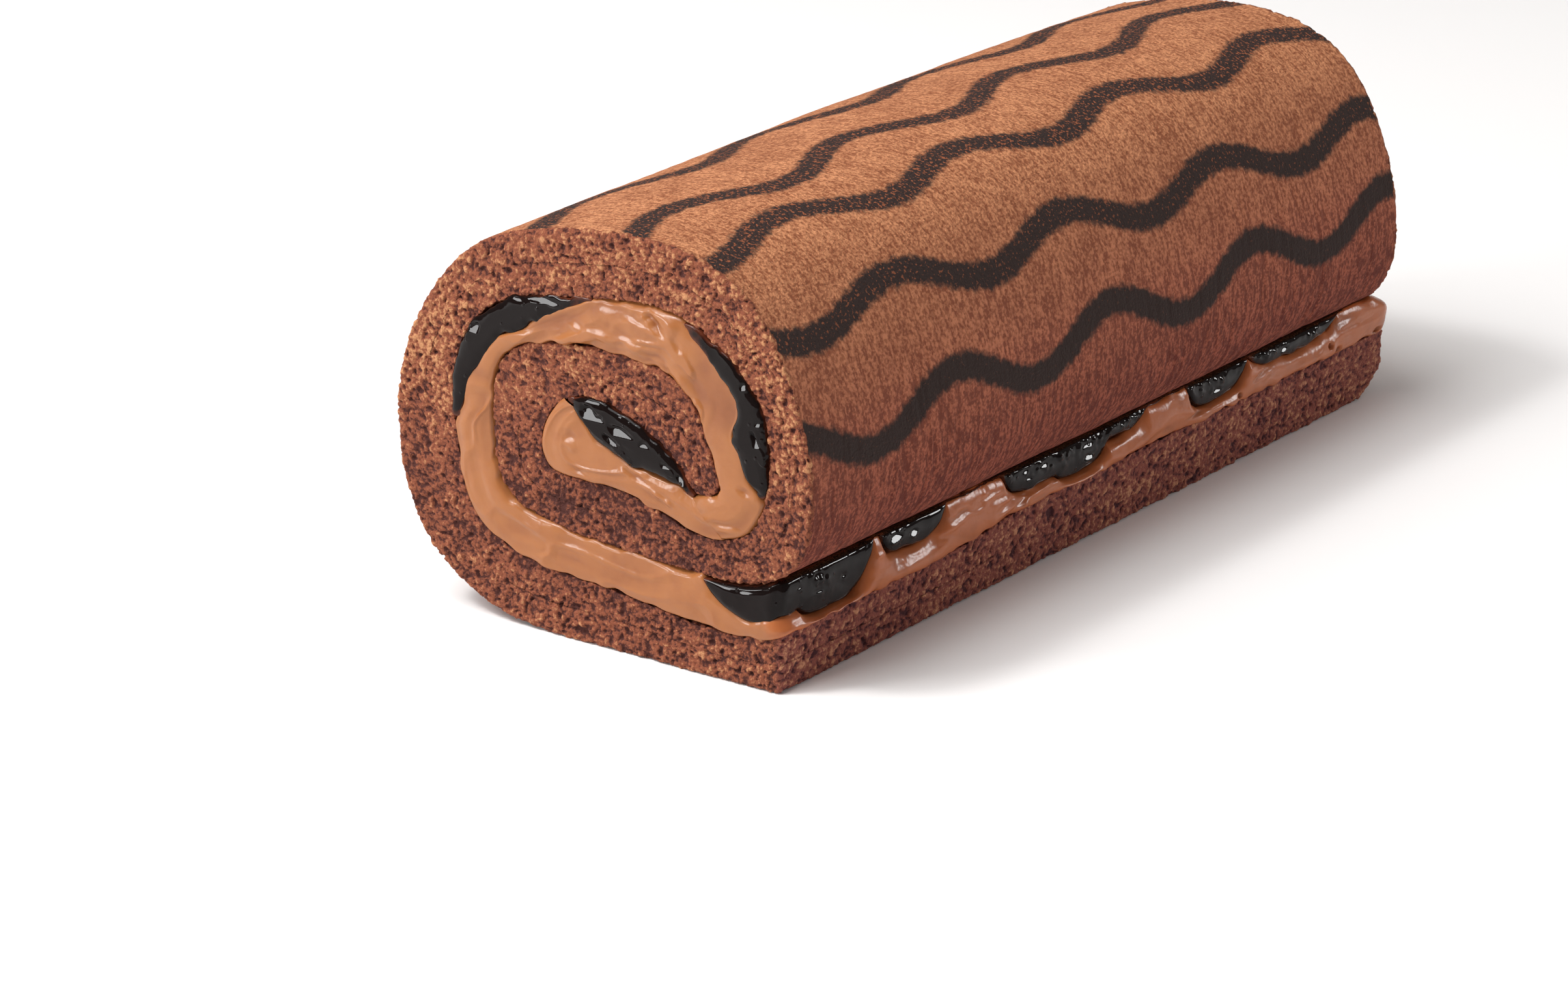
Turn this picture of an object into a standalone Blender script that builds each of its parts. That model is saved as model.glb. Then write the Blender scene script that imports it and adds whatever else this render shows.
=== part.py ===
"""A rolled chocolate sponge cake that lies on its loose tail.

One sheet of sponge runs flat along the bottom from its cut tail, up the left, over the top,
down the right and in again below the roll, and ends as a tongue in the middle. Cream lies on
its inner side all the way, and pools of glossy chocolate sauce lie between cream and sponge.
The cross-section is drawn in millimetres from the tail's lower right edge: X right, Z up.
The roll runs along Y.
"""

import bpy
import numpy as np

ROLL_LENGTH = 193.7
TAIL_TO_MIDDLE = 38.28
SWELL_AT_MID_LENGTH = 0.013
TAIL_LIP = 1.2
TAIL_LIP_STATIONS = 0.6
TAIL_THICKENING = 1.8
TAIL_STATIONS = 4.0
FAR_END_REACH = 8.5
FAR_END_SHIFT = 4.06
HALF_GAP = 0.17
MIDDLE_GAP = 0.5
TONGUE_CLEARANCE = 0.6
SPONGE_CRAG = 0.35
CREAM_PROUD = 0.6
SAUCE_PROUD = 0.9
MM = 0.001

# Stations along the sheet: number, skin side X and Z, cream side X and Z.
SHEET_STATIONS = np.array((
    (0, 0.0, 0.0, 0.2, 9.7),
    (1, -14.0, 0.0, -14.0, 8.9),
    (2, -28.0, 0.0, -28.0, 10.4),
    (3, -42.0, 0.0, -41.0, 11.6),
    (4, -54.0, 0.4, -50.9, 12.5),
    (5, -64.5, 3.0, -58.5, 14.6),
    (7, -79.6, 16.2, -67.2, 22.4),
    (8, -82.5, 25.5, -68.8, 29.0),
    (10, -81.5, 44.8, -69.6, 45.0),
    (13, -61.0, 70.0, -54.0, 60.6),
    (14, -50.0, 73.3, -45.0, 62.0),
    (17, -15.0, 73.4, -18.5, 62.4),
    (18, -5.8, 68.0, -11.3, 58.0),
    (19, 0.6, 58.8, -5.6, 52.9),
    (21, 6.5, 38.5, -2.3, 40.0),
    (23, 2.6, 23.0, -6.2, 28.4),
    (25, -14.0, 18.0, -20.0, 26.0),
    (26, -27.0, 18.4, -30.0, 29.2),
    (28, -50.0, 20.6, -46.4, 30.1),
    (29, -57.6, 23.6, -49.9, 32.2),
    (31, -61.6, 38.5, -48.4, 41.0),
    (32, -59.9, 47.6, -44.6, 44.0),
    (34, -44.0, 53.9, -35.8, 44.6),
    (37, -19.0, 49.6, -23.2, 38.4),
    (38, -15.4, 43.0, -20.2, 35.6),
    (39, -12.9, 36.0, -17.8, 32.8),
    (40, -13.0, 33.5, -15.2, 32.5),
))

# Where the cream's far side meets the next turn: station under it, station over it.
NEXT_TURN = np.array((
    (0, 23.1), (1, 25.0), (2, 26.1), (4, 28.1), (5, 28.7), (7, 29.6), (10, 31.6), (13, 33.1),
    (16, 35.7), (18, 36.9), (20, 37.9), (22, 39.4), (23, 40.0),
))

# The same for the middle, where the cream lies against the sheet's own cream side.
MIDDLE_TURN = np.array((
    (24, 40.0), (25, 39.0), (26, 36.6), (27, 35.3), (28, 34.2), (29, 33.5), (30, 33.0),
    (31, 32.75), (32, 32.5),
))

# Pools of sauce on the cream side: station, depth.
LEFT_POOL = ((9.0, 2.2), (9.5, 3.3), (10.0, 4.2), (10.5, 5.6), (11.5, 5.9), (12.5, 6.0),
             (13.5, 3.0), (14.5, 0.8))
RIGHT_POOL = ((17.0, 0.9), (18.0, 2.4), (19.0, 4.0), (20.0, 6.8), (20.5, 6.8), (21.0, 5.6),
              (21.5, 4.2), (21.75, 3.0))

# The middle pool lies under the tongue: station above it, X and Z of its lower edge.
MIDDLE_POOL = np.array((
    (32.5, -43.3, 43.2), (33.5, -39.6, 39.2), (34.5, -35.2, 36.8), (36.0, -28.6, 34.6),
    (37.5, -22.4, 33.6), (39.0, -17.9, 31.8),
))

# Drips of sauce that hang below the roll over the tail: middle along Y, half length, depth.
SAUCE_DRIPS = ((2.0, 15.0, 8.3), (14.5, 13.0, 10.6), (38.7, 10.8, 7.0), (80.0, 15.0, 6.8),
               (91.5, 11.0, 8.6), (100.0, 15.0, 5.2), (138.0, 11.5, 7.4), (166.0, 18.5, 5.4))
SAUCE_LEAST = 1.7
SAUCE_TAIL_LENGTH = 183.0

CREAM_ROWS = np.array((0, 7, 14, 21, 25, 28, 33, 41, 46, 50, 65, 70, 78, 92, 98, 104, 115, 127,
                       132, 140, 146, 150, 166, 183, ROLL_LENGTH))
SPONGE_ROWS = CREAM_ROWS[[0, 4, 9, 12, 16, 20, 23, 24]]


def clear_scene():
    """Takes every object out of the scene."""
    for old in list(bpy.data.objects):
        bpy.data.objects.remove(old, do_unlink=True)


def smooth_through(knots, values, at):
    """Natural cubic spline through the values at the knots, read at other places."""
    step = np.diff(knots)
    count = len(knots)
    inner = np.arange(1, count - 1)
    system = np.eye(count)
    system[inner, inner - 1] = step[:-1]
    system[inner, inner] = 2 * (step[:-1] + step[1:])
    system[inner, inner + 1] = step[1:]
    slope = np.diff(values, axis=0) / step[:, None]
    target = np.zeros_like(values)
    target[inner] = 6 * np.diff(slope, axis=0)
    bend = np.linalg.solve(system, target)
    k = np.clip(np.searchsorted(knots, at, side="right") - 1, 0, count - 2)
    h = step[k][..., None]
    right = (at - knots[k])[..., None] / h
    left = 1 - right
    cubic = (left**3 - left) * bend[k] + (right**3 - right) * bend[k + 1]
    return left * values[k] + right * values[k + 1] + cubic * h**2 / 6


def sheet_at(station):
    """Skin side, cream side and the unit step from skin to cream, each with X and Z last."""
    lines = smooth_through(SHEET_STATIONS[:, 0], SHEET_STATIONS[:, 1:], np.asarray(station))
    lines[..., 1] = np.maximum(lines[..., 1], 0)
    skin = lines[..., :2]
    inner = lines[..., 2:]
    across = inner - skin
    across = across / np.linalg.norm(across, axis=-1, keepdims=True)
    return skin, inner, across


def pool_depth(pool, station):
    """Depth of a pool at a station, and zero outside it."""
    marks = np.array(pool)
    inside = (station >= marks[0, 0]) & (station <= marks[-1, 0])
    depth = smooth_through(marks[:, 0], marks[:, 1:], np.asarray(station))[..., 0]
    return np.where(inside, np.clip(depth, marks[-1, 1] * 0.5, None), 0.0)


def middle_edge(station):
    """Lower edge of the middle pool and the unit step down to it from the sponge above."""
    _, inner, _ = sheet_at(station)
    at = np.clip(station, MIDDLE_POOL[0, 0], MIDDLE_POOL[-1, 0])
    edge = smooth_through(MIDDLE_POOL[:, 0], MIDDLE_POOL[:, 1:], at)
    down = edge - inner
    return inner, edge, down / np.linalg.norm(down, axis=-1, keepdims=True)


def drip_depth(y):
    """How far the sauce hangs below the roll at a place along it."""
    depth = np.where(y < SAUCE_TAIL_LENGTH + 1, SAUCE_LEAST, 0.0)
    for middle, half, most in SAUCE_DRIPS:
        reach = np.clip(np.abs(y - middle) / half, 0, 1)
        depth = np.maximum(depth, most * (1 - reach**4.5))
    return np.where(y < SAUCE_TAIL_LENGTH + 1, depth, 0.0)


def hanging(station, y):
    """Depth of the sauce below the roll, which ends in a rounded tip on the front face."""
    return drip_depth(y) * (1 - np.clip(station / 1.15, 0, 1) ** 2.2)


def smoothstep(low, high, x):
    """Rises smoothly from 0 at low to 1 at high."""
    t = np.clip((x - low) / (high - low), 0, 1)
    return t * t * (3 - 2 * t)


def tail_rise(station, y):
    """Extra thickness of the tail's sponge: a lip at its edge, and more toward the far end."""
    lip = TAIL_LIP * np.clip(1 - station / TAIL_LIP_STATIONS, 0, 1)
    share = np.clip(1 - station / TAIL_STATIONS, 0, 1)
    return lip + TAIL_THICKENING * smoothstep(50, 78, y) * share


def far_end(x, y, z):
    """How far the tail's far end reaches past the roll above it, rounded off below."""
    low = smoothstep(-1, 6, z) * (1 - smoothstep(17, 23.5, z))
    near_edge = smoothstep(-30, -3, x)
    return FAR_END_REACH * smoothstep(180, ROLL_LENGTH, y) * near_edge * low


def swollen(x, z, y):
    """The roll is a little fatter at mid-length than at its two cut faces."""
    along = np.clip(y / ROLL_LENGTH, 0, 1)
    lift = SWELL_AT_MID_LENGTH * 4 * along * (1 - along) * np.clip(z / 75.0, 0, 1)
    return x + (x + TAIL_TO_MIDDLE) * lift, z * (1 + lift)


def crag(a, b):
    """Fixed uneven relief between -1 and 1 from a few crossed waves."""
    first = np.sin(2.9 * a + 1.7 * np.sin(1.3 * b))
    second = np.sin(3.7 * b + 2.1 * np.sin(0.9 * a) + 0.6)
    return 0.5 * (first + second)


def station_steps(start, stop):
    """Stations every half step, and every quarter step round the tight bends."""
    steps = np.arange(0, 40.01, 0.5)
    bends = ((0.25, 1), (21.25, 25), (28.25, 32))
    tight = np.concatenate([np.arange(first, last, 0.5) for first, last in bends])
    steps = np.sort(np.concatenate((steps, tight)))
    return steps[(steps >= start) & (steps <= stop)]


def bent_box(name, u, v, y, place):
    """One closed solid from the shell of a u by v by y lattice, bent into place."""
    grid = np.stack(np.meshgrid(u, v, y, indexing="ij"), axis=-1)
    points = place(grid[..., 0], grid[..., 1], grid[..., 2]).reshape(-1, 3)
    index = np.arange(len(points)).reshape(grid.shape[:3])
    sides = (
        index[:, 0, :], index[:, -1, :][::-1],
        index[0][::-1], index[-1],
        index[:, :, 0][::-1], index[:, :, -1],
    )
    quads = np.concatenate([
        np.stack((s[:-1, :-1], s[1:, :-1], s[1:, 1:], s[:-1, 1:]), axis=-1).reshape(-1, 4)
        for s in sides
    ])
    used, faces = np.unique(quads, return_inverse=True)
    mesh = bpy.data.meshes.new(name)
    mesh.from_pydata((points[used] * MM).tolist(), [], faces.reshape(-1, 4).tolist())
    mesh.update()
    piece = bpy.data.objects.new(name, mesh)
    bpy.context.scene.collection.objects.link(piece)
    face_out(mesh)
    return piece


def face_out(mesh):
    """Turns the faces round if the closed mesh holds a negative volume."""
    mesh.calc_loop_triangles()
    corners = np.array([
        [mesh.vertices[i].co[:] for i in triangle.vertices] for triangle in mesh.loop_triangles
    ])
    if np.linalg.det(corners).sum() < 0:
        mesh.flip_normals()


def ends_out(y, proud):
    """Y pushed out by the given amount at the two cut faces, and left alone between them."""
    front = y <= 0
    back = y >= ROLL_LENGTH
    return np.where(front, y - proud, np.where(back, y + proud, y))


def in_frame(x, y, z):
    """Section coordinates moved so that the middle of the base is the origin."""
    middle = ROLL_LENGTH / 2 + FAR_END_SHIFT
    return np.stack((x + TAIL_TO_MIDDLE, y + far_end(x, y, z) - middle, z), axis=-1)


def place_sponge(u, v, y):
    """Between the skin side and the cream side of the sheet."""
    skin, inner, across = sheet_at(u)
    skin = skin + across * HALF_GAP * np.where(u < 4, 0, 1)[..., None]
    inner = inner - across * HALF_GAP
    spot = skin + (inner - skin) * v[..., None]
    x, z = swollen(spot[..., 0], spot[..., 1] + v * tail_rise(u, y), y)
    inside = (v > 0) & (v < 1)
    relief = SPONGE_CRAG * crag(x, z) * inside
    return in_frame(x, ends_out(y, relief), z)


def cream_edges(u, y):
    """The two sides of the cream: against the sheet under it and the turn over it."""
    _, inner, across = sheet_at(u)
    depth = pool_depth(LEFT_POOL, u) + pool_depth(RIGHT_POOL, u)
    near = inner + across * (depth + HALF_GAP)[..., None]
    near[..., 1] += tail_rise(u, y)
    over = np.interp(u, NEXT_TURN[:, 0], NEXT_TURN[:, 1])
    skin, _, step = sheet_at(over)
    far = skin - step * HALF_GAP
    hang = hanging(u, y) * (u < 1.1)
    far[..., 1] -= hang + np.where(u < 1.1, HALF_GAP, 0)
    far[..., 0] -= np.clip(hang, 0, 9) * 0.16 * np.clip(1 - u, 0, 1)
    back = np.interp(u, MIDDLE_TURN[:, 0], MIDDLE_TURN[:, 1])
    _, edge, down = middle_edge(back)
    tip_skin, tip_inner, _ = sheet_at(40.0)
    past_tip = np.array((0.67, -0.74)) * TONGUE_CLEARANCE
    far = np.where((u == 23)[..., None], tip_skin + past_tip, far)
    round_tip = (tip_skin + (tip_inner - tip_skin) * np.clip(u - 23, 0, 1)[..., None]) + past_tip
    middle = np.where((u <= 24)[..., None], round_tip, edge + down * MIDDLE_GAP)
    return near, np.where((u > 23)[..., None], middle, far)


def place_cream(u, v, y):
    """Between the two sides of the cream, proud at the cut faces and along the tail."""
    near, far = cream_edges(u, y)
    spot = near + (far - near) * v[..., None]
    swelling = np.sin(np.pi * np.clip(v, 0, 1))
    bulge = np.where(u == 0, 1.1 * swelling * (1 + 0.5 * np.sin(y / 5.0)), 0)
    x, z = swollen(spot[..., 0] + bulge, spot[..., 1], y)
    return in_frame(x, ends_out(y, CREAM_PROUD * swelling), z)


def place_pool(pool):
    """Placing function for a pool that lies on the sheet's cream side."""
    def place(u, v, y):
        _, inner, across = sheet_at(u)
        depth = pool_depth(pool, u)
        reach = HALF_GAP + (depth - 2 * HALF_GAP) * v
        spot = inner + across * reach[..., None]
        x, z = swollen(spot[..., 0], spot[..., 1], y)
        return in_frame(x, ends_out(y, SAUCE_PROUD * np.sin(np.pi * v)), z)
    return place


def place_middle_pool(u, v, y):
    """From the sponge above the middle pool down to its lower edge."""
    inner, edge, down = middle_edge(u)
    top = inner + down * HALF_GAP
    spot = top + (edge - top) * v[..., None]
    x, z = swollen(spot[..., 0], spot[..., 1], y)
    return in_frame(x, ends_out(y, SAUCE_PROUD * np.sin(np.pi * v)), z)


def place_tail_sauce(u, v, y):
    """Below the roll over the tail, down to the tips of its drips."""
    over = np.interp(u, NEXT_TURN[:, 0], NEXT_TURN[:, 1])
    skin, _, step = sheet_at(over)
    top = skin - step * HALF_GAP
    hang = hanging(u, y)
    drop = (hang - 2 * HALF_GAP) * v + HALF_GAP
    lean = np.clip(hang, 0, 9) * 0.16 * np.clip(1 - u, 0, 1) * v
    bulge = np.where(u == 0, 1.5 * np.sin(np.pi * np.clip(v, 0, 1)), 0)
    x, z = swollen(top[..., 0] - lean + bulge, top[..., 1] - drop, y)
    return in_frame(x, ends_out(y, SAUCE_PROUD * np.sin(np.pi * v)), z)


def pool_stations(pool):
    """Lattice stations inside a pool, with its two ends."""
    steps = station_steps(pool[0][0], pool[-1][0])
    return np.unique(np.concatenate((steps, (pool[0][0], pool[-1][0]))))


def own_material(piece, colour, roughness):
    """Gives the piece a Principled material of its own."""
    material = bpy.data.materials.new(piece.name)
    material.use_nodes = True
    shader = material.node_tree.nodes["Principled BSDF"]
    shader.inputs["Base Color"].default_value = (*colour, 1.0)
    shader.inputs["Roughness"].default_value = roughness
    material.diffuse_color = (*colour, 1.0)
    piece.data.materials.append(material)
    piece.data.shade_smooth()
    piece.data.set_sharp_from_angle(angle=np.radians(50))


def build():
    """Builds the sponge, the cream and the four pools of sauce."""
    clear_scene()
    across = np.linspace(0, 1, 4)
    brown = (0.30, 0.115, 0.05)
    caramel = (0.47, 0.21, 0.10)
    dark = (0.012, 0.007, 0.006)
    sponge = bent_box("sponge", station_steps(0, 40), across, SPONGE_ROWS, place_sponge)
    own_material(sponge, brown, 0.9)
    cream = bent_box("cream", station_steps(0, 32), across, CREAM_ROWS, place_cream)
    own_material(cream, caramel, 0.35)
    pools = (
        ("sauce_left", LEFT_POOL, place_pool(LEFT_POOL)),
        ("sauce_right", RIGHT_POOL, place_pool(RIGHT_POOL)),
        ("sauce_middle", MIDDLE_POOL, place_middle_pool),
    )
    for name, pool, place in pools:
        halves = np.linspace(0, 1, 3)
        sauce = bent_box(name, pool_stations(pool), halves, SPONGE_ROWS, place)
        own_material(sauce, dark, 0.05)
    rows = CREAM_ROWS[CREAM_ROWS <= SAUCE_TAIL_LENGTH]
    tail_steps = np.array((0, 0.25, 0.5, 0.75, 1.0))
    tail = bent_box("sauce_tail", tail_steps, across, rows, place_tail_sauce)
    own_material(tail, dark, 0.05)


build()
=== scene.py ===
"""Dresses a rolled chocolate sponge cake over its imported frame.

The cake is one baked sheet, rolled up, so every surface here is a function of three places in
that sheet: how far along it from the cut tail, how deep from the baked skin toward the cream,
and how far along the roll. All lengths are millimetres until a mesh is made.
"""

import logging
import math
from dataclasses import dataclass
from enum import Enum

import bpy
import numpy as np
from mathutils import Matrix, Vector

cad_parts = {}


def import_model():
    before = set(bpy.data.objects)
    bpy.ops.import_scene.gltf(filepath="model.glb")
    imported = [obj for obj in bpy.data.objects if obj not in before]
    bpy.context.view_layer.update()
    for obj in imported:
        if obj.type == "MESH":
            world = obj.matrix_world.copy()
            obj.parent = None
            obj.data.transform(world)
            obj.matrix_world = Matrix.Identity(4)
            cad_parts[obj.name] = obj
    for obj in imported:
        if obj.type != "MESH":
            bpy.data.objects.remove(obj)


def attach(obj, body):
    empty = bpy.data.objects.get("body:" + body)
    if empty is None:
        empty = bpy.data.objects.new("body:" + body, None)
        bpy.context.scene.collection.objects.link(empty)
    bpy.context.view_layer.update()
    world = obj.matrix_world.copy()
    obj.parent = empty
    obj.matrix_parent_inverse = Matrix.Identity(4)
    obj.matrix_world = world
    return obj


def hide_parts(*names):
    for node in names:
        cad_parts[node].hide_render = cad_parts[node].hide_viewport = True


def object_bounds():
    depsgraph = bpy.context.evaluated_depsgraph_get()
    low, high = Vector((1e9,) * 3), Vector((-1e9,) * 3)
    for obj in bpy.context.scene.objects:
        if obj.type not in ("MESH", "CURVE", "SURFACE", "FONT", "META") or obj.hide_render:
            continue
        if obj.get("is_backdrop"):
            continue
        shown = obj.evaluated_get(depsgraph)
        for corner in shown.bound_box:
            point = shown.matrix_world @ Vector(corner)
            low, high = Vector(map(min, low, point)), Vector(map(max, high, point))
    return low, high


LOG = logging.getLogger("cake")
MM = 0.001
# Length of the roll, and how far the tail's edge lies from the middle of the frame.
ROLL_LENGTH = 193.7
TAIL_TO_MIDDLE = 38.28
# The cut draws the crumb's grains out along the roll, so their pattern is squeezed there.
CRUMB_DRAW = (1.0, 0.8, 1.0)
Array = np.ndarray


class Slot(Enum):
    """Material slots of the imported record."""

    SPONGE = "sponge"
    CREAM = "cream"
    SAUCE = "sauce"


class Cut(Enum):
    """The two cut faces of the roll, by their place along it."""

    FRONT = 0.0
    BACK = ROLL_LENGTH


def smooth_through(knots: Array, values: Array, at: Array) -> Array:
    """Natural cubic spline through values at knots.

    Args:
        knots: Rising places of the values.
        values: One row for each knot.
        at: Places to read, of any shape.

    Returns:
        The values at those places, with the value axis last.
    """
    step = np.diff(knots)
    count = len(knots)
    inner = np.arange(1, count - 1)
    system = np.eye(count)
    system[inner, inner - 1] = step[:-1]
    system[inner, inner] = 2 * (step[:-1] + step[1:])
    system[inner, inner + 1] = step[1:]
    slope = np.diff(values, axis=0) / step[:, None]
    target = np.zeros_like(values)
    target[inner] = 6 * np.diff(slope, axis=0)
    bend = np.linalg.solve(system, target)
    k = np.clip(np.searchsorted(knots, at, side="right") - 1, 0, count - 2)
    h = step[k][..., None]
    right = (at - knots[k])[..., None] / h
    left = 1 - right
    cubic = (left**3 - left) * bend[k] + (right**3 - right) * bend[k + 1]
    return left * values[k] + right * values[k + 1] + cubic * h**2 / 6


def smoothstep(low: float, high: float, x: Array) -> Array:
    """Rises smoothly from 0 at low to 1 at high."""
    t = np.clip((x - low) / (high - low), 0, 1)
    return t * t * (3 - 2 * t)


def chance(ix: Array, iy: Array, iz: Array, seed: int) -> Array:
    """A repeatable number from 0 to 1 for each lattice cell.

    Args:
        ix: First index of the cell.
        iy: Second index.
        iz: Third index.
        seed: Which pattern.

    Returns:
        The indices and the seed mixed bit by bit, as a number from 0 to 1.
    """
    mixed = (
        ix.astype(np.int64).astype(np.uint32) * np.uint32(374761393)
        + iy.astype(np.int64).astype(np.uint32) * np.uint32(668265263)
        + iz.astype(np.int64).astype(np.uint32) * np.uint32(2246822519)
        + np.uint32((seed * 3266489917) & 0xFFFFFFFF)
    )
    mixed = (mixed ^ (mixed >> np.uint32(13))) * np.uint32(1274126177)
    mixed = (mixed ^ (mixed >> np.uint32(15))) * np.uint32(2246822519)
    mixed = mixed ^ (mixed >> np.uint32(16))
    return mixed.astype(np.float64) / 4294967295.0


def ripple(points: Array, size: float | tuple[float, float, float], seed: int) -> Array:
    """Smooth random noise from -1 to 1.

    Args:
        points: Places in millimetres, with three values last.
        size: Lattice cell in millimetres, one or three numbers.
        seed: Which pattern.

    Returns:
        One number for each place: corner chances of its cell, blended by smooth weights.
    """
    p = points / np.asarray(size, dtype=float)
    base = np.floor(p)
    f = p - base
    f = f * f * f * (f * (f * 6 - 15) + 10)
    total = np.zeros(p.shape[:-1])
    for corner in range(8):
        bit = np.array((corner & 1, corner >> 1 & 1, corner >> 2 & 1))
        weight = np.prod(np.where(bit, f, 1 - f), axis=-1)
        cell = base + bit
        total += weight * chance(cell[..., 0], cell[..., 1], cell[..., 2], seed)
    return total * 2 - 1


def cells(points: Array, size: float, seed: int) -> tuple[Array, Array]:
    """Distance to the nearest of one random seed point in each cell.

    Args:
        points: Places in millimetres, with three values last.
        size: Cell size in millimetres.
        seed: Which pattern.

    Returns:
        The distance in cells, and a chance from 0 to 1 that belongs to the nearest point.
    """
    p = points / size
    base = np.floor(p)
    nearest = np.full(p.shape[:-1], 9.0)
    owner = np.zeros(p.shape[:-1])
    for dx in (-1, 0, 1):
        for dy in (-1, 0, 1):
            for dz in (-1, 0, 1):
                cell = base + np.array((dx, dy, dz))
                ix, iy, iz = cell[..., 0], cell[..., 1], cell[..., 2]
                spot = np.stack([chance(ix, iy, iz, seed + i) for i in range(3)], axis=-1)
                gap = np.linalg.norm(cell + spot - p, axis=-1)
                closer = gap < nearest
                owner = np.where(closer, chance(ix, iy, iz, seed + 3), owner)
                nearest = np.where(closer, gap, nearest)
    return nearest, owner


@dataclass(frozen=True)
class Spot:
    """A flat spot on a wet or creamy face, tilted up so that it catches a light.

    Place across the face and height, half sizes, and the turn of its long side in degrees.
    """

    across: float
    high: float
    long: float
    short: float
    turn: float = 0.0


@dataclass(frozen=True)
class Tilt:
    """Slopes of a spot: up, and aside by a start and a change for each millimetre across.

    The rim says where the tilt fades out and where it is full, in half sizes of the spot.
    """

    up: float
    aside: float
    aside_change: float
    rim: tuple[float, float] = (1.4, 0.8)

    def ease(
        self, spots: tuple[Spot, ...], across: Array, high: Array, base: Array, ragged: Array
    ) -> Array:
        """Height of a face with each spot eased onto a tilted plane.

        The plane runs through the spot's mean height, so the face goes on round it.

        Args:
            spots: The spots.
            across: Place across the face in millimetres.
            high: Height on the face in millimetres.
            base: How far the face stands out before, in millimetres.
            ragged: Noise that makes the rims of the spots uneven.

        Returns:
            How far it stands out after, in millimetres.
        """
        out = base + 0 * across
        for spot in spots:
            da, dz = across - spot.across, high - spot.high
            c, s = math.cos(math.radians(spot.turn)), math.sin(math.radians(spot.turn))
            reach = np.hypot((da * c + dz * s) / spot.long, (dz * c - da * s) / spot.short)
            share = smoothstep(*self.rim, reach + ragged)
            level = (share * out).sum() / max(share.sum(), 1e-6)
            aside = self.aside + self.aside_change * spot.across
            out = out + share * (level - self.up * dz - aside * da - out)
        return out


FACE_TILT = Tilt(0.4, 0.0065, -0.0013)
SIDE_TILT = Tilt(0.55, 0.004, -0.0007)
SOFT_FACE_TILT = Tilt(0.4, 0.0065, -0.0013, (2.1, 0.3))
SOFT_SIDE_TILT = Tilt(0.55, 0.004, -0.0007, (2.1, 0.3))


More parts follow.
